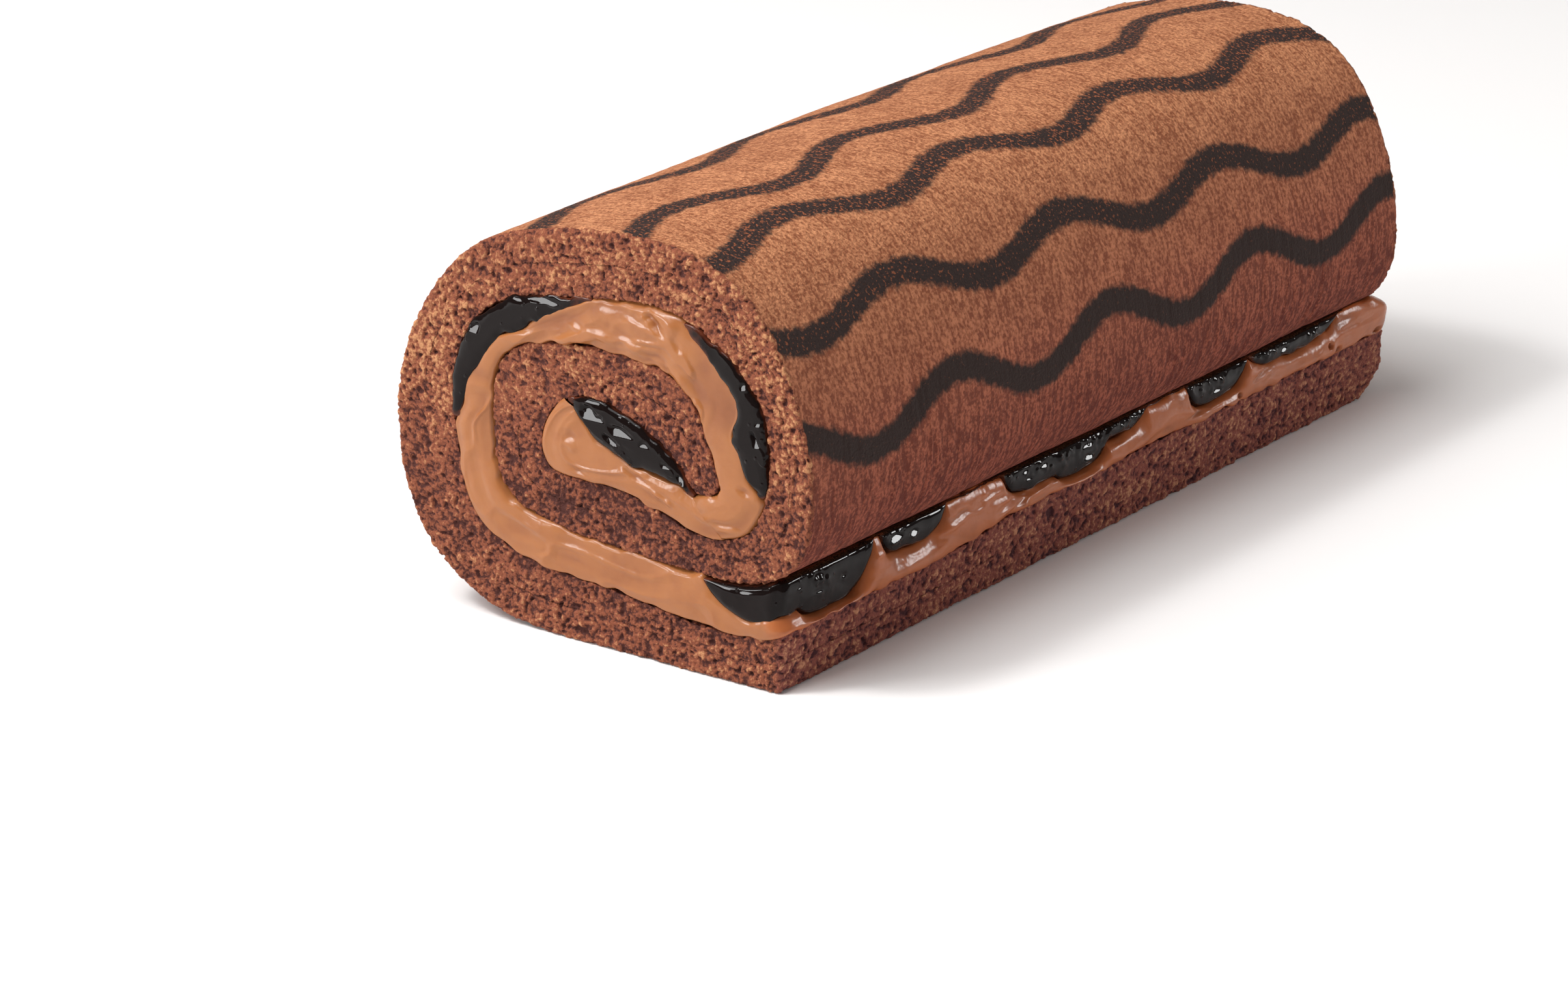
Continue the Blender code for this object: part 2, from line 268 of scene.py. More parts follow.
@dataclass(frozen=True)
class Section:
    """Cross-section of the roll, in millimetres from the tail's lower right edge.

    A station is a place along the sheet, from 0 at the tail's edge to 40 at the tongue.
    """

    swell: float = 0.013
    tail_lip: float = 1.2
    tail_lip_stations: float = 0.6
    tail_thickening: float = 1.8
    tail_stations: float = 4.0
    far_reach: float = 8.5
    far_shift: float = 4.06
    swell_height: float = 75.0
    tip_stations: float = 1.15
    tuck: float = 0.45
    lean: float = 0.16

    # Station along the sheet, skin side X and Z, cream side X and Z.
    STATIONS = np.array((
        (0, 0.0, 0.0, 0.2, 9.7), (1, -14.0, 0.0, -14.0, 8.9), (2, -28.0, 0.0, -28.0, 10.4),
        (3, -42.0, 0.0, -41.0, 11.6), (4, -54.0, 0.4, -50.9, 12.5), (5, -64.5, 3.0, -58.5, 14.6),
        (7, -79.6, 16.2, -67.2, 22.4), (8, -82.5, 25.5, -68.8, 29.0),
        (10, -81.5, 44.8, -69.6, 45.0), (13, -61.0, 70.0, -54.0, 60.6),
        (14, -50.0, 73.3, -45.0, 62.0), (17, -15.0, 73.4, -18.5, 62.4),
        (18, -5.8, 68.0, -11.3, 58.0), (19, 0.6, 58.8, -5.6, 52.9), (21, 6.5, 38.5, -2.3, 40.0),
        (23, 2.6, 23.0, -6.2, 28.4), (25, -14.0, 18.0, -20.0, 26.0),
        (26, -27.0, 18.4, -30.0, 29.2), (28, -50.0, 20.6, -46.4, 30.1),
        (29, -57.6, 23.6, -49.9, 32.2), (31, -61.6, 38.5, -48.4, 41.0),
        (32, -59.9, 47.6, -44.6, 44.0), (34, -44.0, 53.9, -35.8, 44.6),
        (37, -19.0, 49.6, -23.2, 38.4), (38, -15.4, 43.0, -20.2, 35.6),
        (39, -12.9, 36.0, -17.8, 32.8), (40, -13.0, 33.5, -15.2, 32.5),
    ))
    # Station, and station of the turn that lies over it.
    NEXT_TURN = np.array((
        (0, 23.1), (1, 25.0), (2, 26.1), (4, 28.1), (5, 28.7), (7, 29.6), (10, 31.6), (13, 33.1),
        (16, 35.7), (18, 36.9), (20, 37.9), (22, 39.4), (23, 40.0),
    ))
    # Station on the inner turn, and station of the middle pool's edge that faces it.
    MIDDLE_TURN = np.array((
        (24, 40.0), (25, 39.0), (26, 36.6), (27, 35.3), (28, 34.2), (29, 33.5), (30, 33.0),
        (31, 32.75), (32, 32.5),
    ))
    # Station and depth of the two pools between sheet and cream.
    LEFT_POOL = np.array((
        (9.0, 2.2), (9.5, 3.3), (10.0, 4.2), (10.5, 5.6), (11.5, 5.9), (12.5, 6.0), (13.5, 3.0),
        (14.5, 0.8),
    ))
    RIGHT_POOL = np.array((
        (17.0, 0.9), (18.0, 2.4), (19.0, 4.0), (20.0, 6.8), (20.5, 6.8), (21.0, 5.6), (21.5, 4.2),
        (21.75, 3.0),
    ))
    # Station, and X and Z of the middle pool's lower edge.
    MIDDLE_POOL = np.array((
        (32.5, -43.3, 43.2), (33.5, -39.6, 39.2), (34.5, -35.2, 36.8), (36.0, -28.6, 34.6),
        (37.5, -22.4, 33.6), (39.0, -17.9, 31.8),
    ))
    # Drips over the tail: middle along the roll, half length, depth.
    DRIPS = ((2.0, 15.0, 8.3), (14.5, 13.0, 10.6), (38.7, 10.8, 7.0), (80.0, 15.0, 6.8),
             (91.5, 11.0, 8.6), (100.0, 15.0, 5.2), (138.0, 11.5, 7.4), (166.0, 18.5, 5.4))
    LEAST_DRIP = 1.7
    SAUCE_END = 183.0

    def sheet(self, station: Array) -> tuple[Array, Array]:
        """Skin side and cream side of the sheet at a station, each X and Z.

        Args:
            station: Place along the sheet, of any shape.

        Returns:
            The places on both sides, with X and Z last.
        """
        lines = smooth_through(self.STATIONS[:, 0], self.STATIONS[:, 1:], np.asarray(station))
        lines[..., 1] = np.maximum(lines[..., 1], 0)
        return lines[..., :2], lines[..., 2:]

    def across(self, station: Array) -> Array:
        """Unit step from the skin side to the cream side.

        Args:
            station: Place along the sheet.

        Returns:
            The step's X and Z.
        """
        skin, inner = self.sheet(station)
        step = inner - skin
        return step / np.linalg.norm(step, axis=-1, keepdims=True)

    def distance_table(self, which: float) -> tuple[Array, Array]:
        """Stations and the distance along the sheet at them, at a share of its thickness.

        Args:
            which: Share of the thickness, 0 at the skin and 1 at the cream.

        Returns:
            Evenly spaced stations, and the length of the line up to each.
        """
        stations = np.linspace(0, 40, 4001)
        skin, inner = self.sheet(stations)
        line = skin + (inner - skin) * which
        steps = np.linalg.norm(np.diff(line, axis=0), axis=-1)
        return stations, np.concatenate(((0.0,), np.cumsum(steps)))

    def pool_depth(self, pool: Array, station: Array) -> Array:
        """Depth of a pool at a station: a spline, eased to nothing just past its two ends.

        Args:
            pool: Rows of station and depth.
            station: Place along the sheet.

        Returns:
            The depth in millimetres.
        """
        first, last = pool[0, 0], pool[-1, 0]
        at = np.clip(station, first, last)
        depth = smooth_through(pool[:, 0], pool[:, 1:], at)[..., 0]
        depth = np.clip(depth, pool[-1, 1] * 0.5, None)
        starts = smoothstep(first - 0.35, first + 0.2, station)
        return depth * starts * smoothstep(last + 0.35, last - 0.2, station)

    def middle_edge(self, station: Array) -> tuple[Array, Array]:
        """The sponge over the middle pool and the pool's lower edge, each X and Z.

        Args:
            station: Place along the sheet.

        Returns:
            Places on the upper and on the lower edge.
        """
        _, inner = self.sheet(station)
        at = np.clip(station, self.MIDDLE_POOL[0, 0], self.MIDDLE_POOL[-1, 0])
        return inner, smooth_through(self.MIDDLE_POOL[:, 0], self.MIDDLE_POOL[:, 1:], at)

    def drip_depth(self, y: Array) -> Array:
        """How far the sauce hangs below the roll at a place along it.

        Args:
            y: Place along the roll.

        Returns:
            The depth of the deepest drip there.
        """
        depth = np.full(np.shape(y), self.LEAST_DRIP)
        for middle, half, most in self.DRIPS:
            reach = np.clip(np.abs(y - middle) / half, 0, 1)
            depth = np.maximum(depth, most * (1 - reach**4.5))
        return depth * smoothstep(self.SAUCE_END + 1.5, self.SAUCE_END - 2, y)

    def hang(self, station: Array, y: Array) -> Array:
        """Depth of the hanging sauce, which ends on the cut face in a rounded tip."""
        return self.drip_depth(y) * (1 - np.clip(station / self.tip_stations, 0, 1) ** 2.2)

    def turn_over(self, station: Array) -> Array:
        """Station of the turn that lies over a station; at the tail's edge it tucks under."""
        over = np.interp(station, self.NEXT_TURN[:, 0], self.NEXT_TURN[:, 1])
        return over + self.tuck * np.clip(1 - station, 0, 1)

    def tuck_drop(self, station: Array) -> Array:
        """How much lower the tucked edge lies than the roll's side above the tail.

        Args:
            station: Place along the tail.

        Returns:
            The drop in millimetres.
        """
        open_edge, _ = self.sheet(np.interp(station, self.NEXT_TURN[:, 0], self.NEXT_TURN[:, 1]))
        tucked, _ = self.sheet(self.turn_over(station))
        return open_edge[..., 1] - tucked[..., 1]

    def tail_rise(self, station: Array, y: Array) -> Array:
        """Extra thickness of the tail's sponge: a lip at its edge, more toward the far end.

        Args:
            station: Place along the tail.
            y: Place along the roll.

        Returns:
            The thickness to add in millimetres.
        """
        lip = self.tail_lip * np.clip(1 - station / self.tail_lip_stations, 0, 1)
        share = np.clip(1 - station / self.tail_stations, 0, 1)
        return lip + self.tail_thickening * smoothstep(50, 78, y) * share

    def far_end(self, x: Array, y: Array, z: Array) -> Array:
        """How far the tail's far end reaches past the roll above it.

        Args:
            x: Place across the roll.
            y: Place along it.
            z: Height: the reach is rounded off at the foot, and ends where the roll begins.

        Returns:
            The reach in millimetres.
        """
        low = smoothstep(-1, 6, z) * (1 - smoothstep(17, 23.5, z))
        return self.far_reach * smoothstep(180, ROLL_LENGTH, y) * smoothstep(-30, -3, x) * low

    def in_frame(self, x: Array, y: Array, z: Array) -> Array:
        """Section coordinates with the slight swell at mid-length, moved to the row frame.

        Args:
            x: Place across the roll.
            y: Place along it.
            z: Height.

        Returns:
            Points in millimetres, with three values last.
        """
        along = np.clip(y / ROLL_LENGTH, 0, 1)
        lift = self.swell * 4 * along * (1 - along) * np.clip(z / self.swell_height, 0, 1)
        wide = x + (x + TAIL_TO_MIDDLE) * lift
        high = z * (1 + lift)
        back = y + self.far_end(wide, y, high) - ROLL_LENGTH / 2 - self.far_shift
        return np.stack((wide + TAIL_TO_MIDDLE, back, high), axis=-1)

    def in_sponge(self, station: Array, depth: Array, y: Array) -> Array:
        """Place in the sheet at a share of its thickness, 0 at the skin and 1 at the cream.

        Args:
            station: Place along the sheet.
            depth: Share of the thickness.
            y: Place along the roll.

        Returns:
            Points in millimetres, with three values last.
        """
        skin, inner = self.sheet(station)
        spot = skin + (inner - skin) * depth[..., None]
        rise = np.clip(depth, 0, 1) * self.tail_rise(station, y)
        return self.in_frame(spot[..., 0], y, spot[..., 1] + rise)

    def cream_edges(self, station: Array, y: Array) -> tuple[Array, Array]:
        """The two sides of the cream: against the sheet under it and the turn over it.

        Args:
            station: Place along the sheet.
            y: Place along the roll.

        Returns:
            The places on both sides, with X and Z last.
        """
        _, inner = self.sheet(station)
        step = self.across(station)
        depth = self.pool_depth(self.LEFT_POOL, station)
        depth = depth + self.pool_depth(self.RIGHT_POOL, station)
        near = inner + step * depth[..., None]
        near[..., 1] += self.tail_rise(station, y)
        over = self.turn_over(station)
        far, _ = self.sheet(over)
        hang = self.hang(station, y) - self.tuck_drop(station)
        far[..., 1] -= np.clip(hang, 0, None)
        far[..., 0] -= np.clip(hang, 0, 9) * self.lean * np.clip(1 - station, 0, 1)
        back = np.interp(station, self.MIDDLE_TURN[:, 0], self.MIDDLE_TURN[:, 1])
        _, edge = self.middle_edge(back)
        tip_skin, tip_inner = self.sheet(40.0)
        round_tip = tip_skin + (tip_inner - tip_skin) * np.clip(station - 23, 0, 1)[..., None]
        middle = np.where((station <= 24)[..., None], round_tip, edge)
        return near, np.where((station > 23)[..., None], middle, far)


class Packed:
    """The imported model's lowest and highest corners in metres, read once it is loaded."""

    box: tuple[Vector, Vector] = (Vector((-9, -9, -9)), Vector((9, 9, 9)))


@dataclass
class Patch:
    """A grid surface: points in millimetres, numbers for its finish, and its outward side."""

    points: Array
    values: dict[str, Array]
    outward: tuple[float, float, float]

    def normals(self) -> Array:
        """Unit normals of the grid, turned to the outward side.

        Returns:
            The cross product of the grid's two directions at each point.
        """
        along = np.gradient(self.points, axis=0)
        over = np.gradient(self.points, axis=1)
        normal = np.cross(along, over)
        normal /= np.maximum(np.linalg.norm(normal, axis=-1, keepdims=True), 1e-9)
        return normal if self.faces_out(normal) else -normal

    def faces_out(self, normal: Array) -> bool:
        """Whether the middle of the grid looks toward the outward direction.

        Args:
            normal: Normals of the grid, of any length.

        Returns:
            True if they do on the whole.
        """
        rows, columns = normal.shape[:2]
        middle = normal[rows // 3 : rows // 3 + 3, columns // 2]
        return float((middle @ np.array(self.outward)).sum()) > 0

    def raised(self, height: Array) -> "Patch":
        """The same grid moved out along its normals."""
        moved = self.points + self.normals() * height[..., None]
        return Patch(moved, self.values, self.outward)

    def quads(self) -> Array:
        """Corner numbers of each face, wound to face out.

        Returns:
            Four point numbers for each face.
        """
        rows, columns = self.points.shape[:2]
        index = np.arange(rows * columns).reshape(rows, columns)
        corners = (index[:-1, :-1], index[1:, :-1], index[1:, 1:], index[:-1, 1:])
        quads = np.stack(corners, axis=-1).reshape(-1, 4)
        along = np.gradient(self.points, axis=0)
        over = np.gradient(self.points, axis=1)
        return quads if self.faces_out(np.cross(along, over)) else quads[:, ::-1]


def mesh_from(
    name: str, patches: list[Patch], material: bpy.types.Material, held: bool = True
) -> bpy.types.Object:
    """Joins grid patches into one smooth mesh object with their numbers as attributes.

    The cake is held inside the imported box, so its crumb lies flat where it rests.

    Args:
        name: Name of the piece.
        patches: Grids that become one mesh, each with the same set of numbers.
        material: Finish of the whole piece.
        held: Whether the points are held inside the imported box.

    Returns:
        The linked object, at the origin.
    """
    points = np.concatenate([p.points.reshape(-1, 3) for p in patches]) * MM
    if held:
        low, high = (np.array(corner) for corner in Packed.box)
        points = np.clip(points, low, high)
    starts = np.cumsum([0] + [p.points.shape[0] * p.points.shape[1] for p in patches[:-1]])
    quads = np.concatenate([p.quads() + start for p, start in zip(patches, starts)])
    mesh = bpy.data.meshes.new(name)
    mesh.vertices.add(len(points))
    mesh.vertices.foreach_set("co", points.astype(np.float32).ravel())
    mesh.loops.add(quads.size)
    mesh.loops.foreach_set("vertex_index", quads.astype(np.int32).ravel())
    mesh.polygons.add(len(quads))
    mesh.polygons.foreach_set("loop_start", np.arange(0, quads.size, 4, dtype=np.int32))
    mesh.update(calc_edges=True)
    mesh.validate()
    for key in patches[0].values:
        numbers = np.concatenate([p.values[key].ravel() for p in patches])
        attribute = mesh.attributes.new(key, "FLOAT", "POINT")
        attribute.data.foreach_set("value", numbers.astype(np.float32))
    mesh.shade_smooth()
    mesh.materials.append(material)
    piece = bpy.data.objects.new(name, mesh)
    bpy.context.scene.collection.objects.link(piece)
    return piece


@dataclass(frozen=True)
class RimPath:
    """Path round the cut edges of a flat sheet: front face, tail side, back face.

    Its rows are the distance from the tail's side, the place along the roll, and the
    inward normal in those two directions. Both corners are quarter circles.
    """

    length: float
    near_radius: float
    far_radius: float
    fine: float
    coarse: float

    def corner(self, radius: float, first: float, last: float, middle: float) -> Array:
        """Rounded corner as rows of distance, place along the roll and inward normal.

        Args:
            radius: Radius of the corner.
            first: Angle at its start in degrees.
            last: Angle at its end in degrees.
            middle: Place along the roll of the arc's middle.

        Returns:
            The rows.
        """
        count = max(4, int(radius * math.pi / 2 / self.fine))
        angle = np.radians(np.linspace(first, last, count + 2)[1:-1])
        out = np.stack((np.cos(angle), np.sin(angle)), axis=-1)
        spot = np.array((radius, middle)) + radius * out
        return np.concatenate((spot, -out), axis=-1)

    def front(self) -> Array:
        """Along the front face from deep in the roll to the tail."""
        d = np.arange(self.near_radius, self.length, self.fine)[::-1]
        return np.stack((d, d * 0, d * 0, d * 0 + 1), axis=-1)

    def side_and_back(self) -> Array:
        """From the near corner along the tail's side and over the back face.

        Returns:
            The rows, of which the first is the front face's last.
        """
        near = self.corner(self.near_radius, -90, -180, self.near_radius)
        y = np.arange(self.near_radius, ROLL_LENGTH - self.far_radius, self.fine)
        side = np.stack((y * 0, y, y * 0 + 1, y * 0), axis=-1)
        far = self.corner(self.far_radius, 180, 90, ROLL_LENGTH - self.far_radius)
        d = np.arange(self.far_radius, self.length, self.coarse)
        back = np.stack((d, d * 0 + ROLL_LENGTH, d * 0, d * 0 - 1), axis=-1)
        first = self.front()[-1:]
        return np.concatenate((first, near, side, far, back))


def linear(hex_colour: str) -> tuple[float, float, float, float]:
    """An sRGB hex colour as linear RGBA.

    Args:
        hex_colour: Six hex digits after a hash.

    Returns:
        Red, green, blue and alpha from 0 to 1.
    """
    parts = [int(hex_colour[i : i + 2], 16) / 255 for i in (1, 3, 5)]
    lin = [p / 12.92 if p <= 0.04045 else ((p + 0.055) / 1.055) ** 2.4 for p in parts]
    return (*lin, 1.0)


Socket = bpy.types.NodeSocket
SMOOTH = {"interpolation_type": "SMOOTHSTEP"}
COLOUR = {"data_type": "RGBA"}


class Tree:
    """Adds nodes to one material and wires them."""

    def __init__(self, name: str) -> None:
        """Starts a material with a Principled shader.

        Args:
            name: Name of the material.
        """
        self.material = bpy.data.materials.new(name)
        self.material.use_nodes = True
        self.tree = self.material.node_tree

    def add(
        self, kind: str, inputs: dict | tuple = (), out: int | str = 0, **settings: object
    ) -> Socket:
        """Adds a node, gives it settings, and feeds its inputs.

        Args:
            kind: Type of the node, without the first part that all types share.
            inputs: Numbers, colours or other nodes' outputs, in the order of the node's
                inputs, or by their names or numbers.
            out: Name or number of the output that is wanted.
            settings: Properties of the node.

        Returns:
            The wanted output.
        """
        node = self.tree.nodes.new("ShaderNode" + kind)
        for key, value in settings.items():
            setattr(node, key, value)
        self.feed(node, inputs if isinstance(inputs, dict) else dict(enumerate(inputs)))
        return node.outputs[out]

    def feed(self, node: bpy.types.Node, inputs: dict) -> None:
        """Sets or links a node's inputs.

        Args:
            node: The node to feed.
            inputs: Numbers, colours or other nodes' outputs by the input's name or number.
        """
        for key, value in inputs.items():
            if isinstance(value, Socket):
                self.tree.links.new(value, node.inputs[key])
            else:
                node.inputs[key].default_value = value

    def finish(self, inputs: dict) -> bpy.types.Material:
        """Feeds the Principled shader by its inputs' names, and gives the material back."""
        self.feed(self.tree.nodes["Principled BSDF"], inputs)
        return self.material


def lumps(place: Socket, size_mm: float, detail: float) -> dict:
    """Inputs of a noise whose lumps have a real size."""
    return {"Vector": place, "Scale": 1.0 / (size_mm * MM), "Detail": detail}


@dataclass(frozen=True)
class SpongeFinish:
    """Baked cocoa sponge: open crumb where cut, thin browned skin outside, piped dark waves.

    It is dry and matt, so it has almost no gloss, and its grain is what the eye takes it by.
    Sizes in millimetres are those of the real grit, pores and creases.
    """

    skin_pale: str = "#D29167"
    skin_deep: str = "#915639"
    # Wall and low-wall colours are darker, redder copies of the skin's: painted shade down the
    # side.
    wall_shade_pale: str = "#B97054"
    wall_shade_deep: str = "#7E4636"
    low_shade_pale: str = "#9A5441"
    low_shade_deep: str = "#633128"
    crumb_light: str = "#BE875F"
    crumb_mid: str = "#8B503A"
    crumb_dark: str = "#4D2C27"
    # A rosier, darker copy of the crumb's colours for the tail's side: painted shade.
    tail_shade_light: str = "#BE8565"
    tail_shade_mid: str = "#8B5045"
    tail_shade_dark: str = "#4D2C2F"
    wave: str = "#362A27"
    wave_speck: str = "#98593C"
    wave_half_mm: float = 2.6
    wave_soft_mm: float = 0.75
    ragged_mm: float = 1.5
    grit_mm: float = 0.65
    fleck_mm: float = 0.6
    blotch_mm: float = 8.0
    pore_mm: float = 0.8
    dust_mm: float = 0.35
    bump_mm: tuple[float, float] = (0.5, 0.45)
    wrinkle_mm: tuple[float, float] = (3.2, 1.1)
    roughness: float = 0.88
    specular: float = 0.18

    def wrinkles(self, t: Tree) -> Socket:
        """Fine creases that run round the roll: noise on the flat sheet, drawn out round it.

        Args:
            t: The material's nodes.

        Returns:
            A number from 0 to 1.
        """
        round_mm, along_mm = self.wrinkle_mm
        arc, along = (t.add("Attribute", (), "Fac", attribute_name=n) for n in ("arc", "along"))
        sheet = t.add("CombineXYZ", (
            t.add("Math", (arc, round_mm), operation="DIVIDE"),
            t.add("Math", (along, along_mm), operation="DIVIDE"),
        ))
        return t.add("TexNoise", {"Vector": sheet, "Scale": 1.0, "Detail": 3.0})

    def skin_colour(self, t: Tree, place: Socket, side: Socket, wrinkle: Socket) -> Socket:
        """Pale and gritty over the top, with painted shade that makes it redder and darker down the
        side, darker still low on the wall, and dark in its creases.

        Args:
            t: The material's nodes.
            place: Place on the object.
            side: How far round from the top: 0 on top, 1 on a wall, 2 low on the wall.
            wrinkle: The creases.

        Returns:
            The colour of the skin without its waves.
        """
        grit = t.add("TexNoise", lumps(place, self.grit_mm, 3.0))
        grit = t.add("MapRange", (grit, 0.39, 0.61), **SMOOTH)
        blotch = t.add("TexNoise", lumps(place, self.blotch_mm, 3.0))
        blotch = t.add("MapRange", (blotch, 0.35, 0.65), **SMOOTH)
        crease = t.add("Attribute", (), "Fac", attribute_name="crease")
        share = t.add("Math", (side, 0.2, 0.3), operation="MULTIPLY_ADD")
        lines = t.add("MapRange", (wrinkle, 0.53, 0.42), **SMOOTH)
        # Grit counts most, then painted shade in the creases, more of it down the side, and last
        # broad blotches.
        tone = t.add("Math", (blotch, 0.2), operation="MULTIPLY")
        tone = t.add("Math", (grit, 0.65, tone), operation="MULTIPLY_ADD")
        tone = t.add("Math", (lines, share, tone), operation="MULTIPLY_ADD")
        tone = t.add("Math", (crease, 0.25, tone), operation="MULTIPLY_ADD")
        # Pale flecks of broken skin, only down the side.
        fleck = t.add("TexNoise", lumps(place, self.fleck_mm, 2.0))
        fleck = t.add("MapRange", (fleck, 0.62, 0.72), **SMOOTH)
        fleck = t.add("Math", (fleck, side), operation="MULTIPLY")
        fleck = t.add("Math", (fleck, 0.5), operation="MULTIPLY")
        tone = t.add("Math", (tone, fleck), operation="SUBTRACT", use_clamp=True)
        # The wall's and the low wall's pairs are shaded copies of the top's colours: painted shade
        # down the side.
        pairs = (
            (self.skin_pale, self.skin_deep), (self.wall_shade_pale, self.wall_shade_deep),
            (self.low_shade_pale, self.low_shade_deep),
        )
        top, wall, low = (
            t.add("Mix", {0: tone, 6: linear(pale), 7: linear(deep)}, 2, **COLOUR)
            for pale, deep in pairs
        )
        under = t.add("Math", (side, 1.0), operation="SUBTRACT", use_clamp=True)
        wall = t.add("Mix", {0: under, 6: wall, 7: low}, 2, **COLOUR)
        over = t.add("Math", (side, 1.0), operation="MINIMUM")
        return t.add("Mix", {0: over, 6: top, 7: wall}, 2, **COLOUR)

    def waves_over(self, t: Tree, place: Socket, side: Socket, skin: Socket) -> Socket:
        """Piped dark batter, baked in flush: ragged at its edge, with paler specks on top.

        Args:
            t: The material's nodes.
            place: Place on the object.
            side: How far round from the top.
            skin: Colour of the skin.

        Returns:
            The colour of the skin with its waves.
        """
        gap = t.add("Attribute", (), "Fac", attribute_name="stripe")
        ragged = t.add("TexNoise", lumps(place, self.ragged_mm, 4.0))
        ragged = t.add("Math", (ragged, 0.5), operation="SUBTRACT")
        gap = t.add("Math", (ragged, 2.6, gap), operation="MULTIPLY_ADD")
        rim = (self.wave_half_mm + self.wave_soft_mm, self.wave_half_mm - self.wave_soft_mm)
        wave = t.add("MapRange", (gap, *rim), **SMOOTH)
        over = t.add("Math", (side, 1.0), operation="MINIMUM")
        low = t.add("Math", (over, 0.1, 0.545), operation="MULTIPLY_ADD")
        high = t.add("Math", (low, 0.1), operation="ADD")
        speck = t.add("TexNoise", lumps(place, self.fleck_mm, 2.0))
        speck = t.add("MapRange", (speck, low, high), **SMOOTH)
        fade = t.add("Math", (over, -0.85, 1.0), operation="MULTIPLY_ADD")
        speck = t.add("Math", (speck, fade), operation="MULTIPLY")
        dark = {0: speck, 6: linear(self.wave), 7: linear(self.wave_speck)}
        dark = t.add("Mix", dark, 2, **COLOUR)
        return t.add("Mix", {0: wave, 6: skin, 7: dark}, 2, **COLOUR)

    def crumb_colour(self, t: Tree, place: Socket) -> Socket:
        """Dark pores, partly painted shade, with brown walls and pale torn tips; on the tail's side
        a rosier, darker copy of these colours is painted shade.

        Args:
            t: The material's nodes.
            place: Place on the object, squeezed along the roll.

        Returns:
            The colour of the cut crumb.
        """
        tone, tail = (t.add("Attribute", (), "Fac", attribute_name=n) for n in ("tone", "tail"))
        pairs = (
            (self.crumb_dark, self.tail_shade_dark), (self.crumb_mid, self.tail_shade_mid),
            (self.crumb_light, self.tail_shade_light),
        )
        dark, mid, light = (
            t.add("Mix", {0: tail, 6: linear(face), 7: linear(shaded)}, 2, **COLOUR)
            for face, shaded in pairs
        )
        for size, detail, weight in ((self.pore_mm, 4.0, 2.0), (self.dust_mm, 2.0, 1.6)):
            fine = t.add("TexNoise", lumps(place, size, detail))
            fine = t.add("Math", (fine, 0.5), operation="SUBTRACT")
            tone = t.add("Math", (fine, weight, tone), operation="MULTIPLY_ADD")
        walls = t.add("MapRange", (tone, -1.0, -0.05), **SMOOTH)
        tips = t.add("MapRange", (tone, 0.0, 0.8), **SMOOTH)
        body = t.add("Mix", {0: walls, 6: dark, 7: mid}, 2, **COLOUR)
        return t.add("Mix", {0: tips, 6: body, 7: light}, 2, **COLOUR)

    def material(self) -> bpy.types.Material:
        """Mixes the cut crumb and the skin by the numbers stored on the mesh.

        Returns:
            The material.
        """
        t = Tree("baked_cocoa_sponge")
        place = t.add("TexCoord", (), "Object")
        drawn = t.add("VectorMath", (place, CRUMB_DRAW), operation="MULTIPLY")
        crumb, side = (t.add("Attribute", (), "Fac", attribute_name=n) for n in ("crumb", "side"))
        wrinkle = self.wrinkles(t)
        edge = t.add("TexNoise", lumps(place, self.pore_mm, 3.0))
        edge = t.add("Math", (edge, 0.5), operation="SUBTRACT")
        edge = t.add("Math", (edge, 1.2, crumb), operation="MULTIPLY_ADD")
        cut = t.add("MapRange", (edge, 0.4, 0.6), **SMOOTH)
        skin = self.waves_over(t, place, side, self.skin_colour(t, place, side, wrinkle))
        crumb = self.crumb_colour(t, drawn)
        grit_mm, crumb_mm = self.bump_mm
        grit = t.add("TexNoise", lumps(place, grit_mm, 3.0))
        grit = t.add("Math", (grit, 1.8), operation="MULTIPLY")
        grit = t.add("Math", (wrinkle, 1.5, grit), operation="MULTIPLY_ADD")
        crags = t.add("TexNoise", lumps(drawn, crumb_mm, 4.0))
        crags = t.add("Math", (crags, 1.7), operation="MULTIPLY")
        height = t.add("Mix", {0: cut, 2: grit, 3: crags})
        return t.finish({
            "Base Color": t.add("Mix", {0: cut, 6: skin, 7: crumb}, 2, **COLOUR),
            "Roughness": self.roughness,
            "Specular IOR Level": self.specular,
            "Normal": t.add("Bump", {"Strength": 0.75, "Distance": 0.4 * MM, "Height": height}),
        })


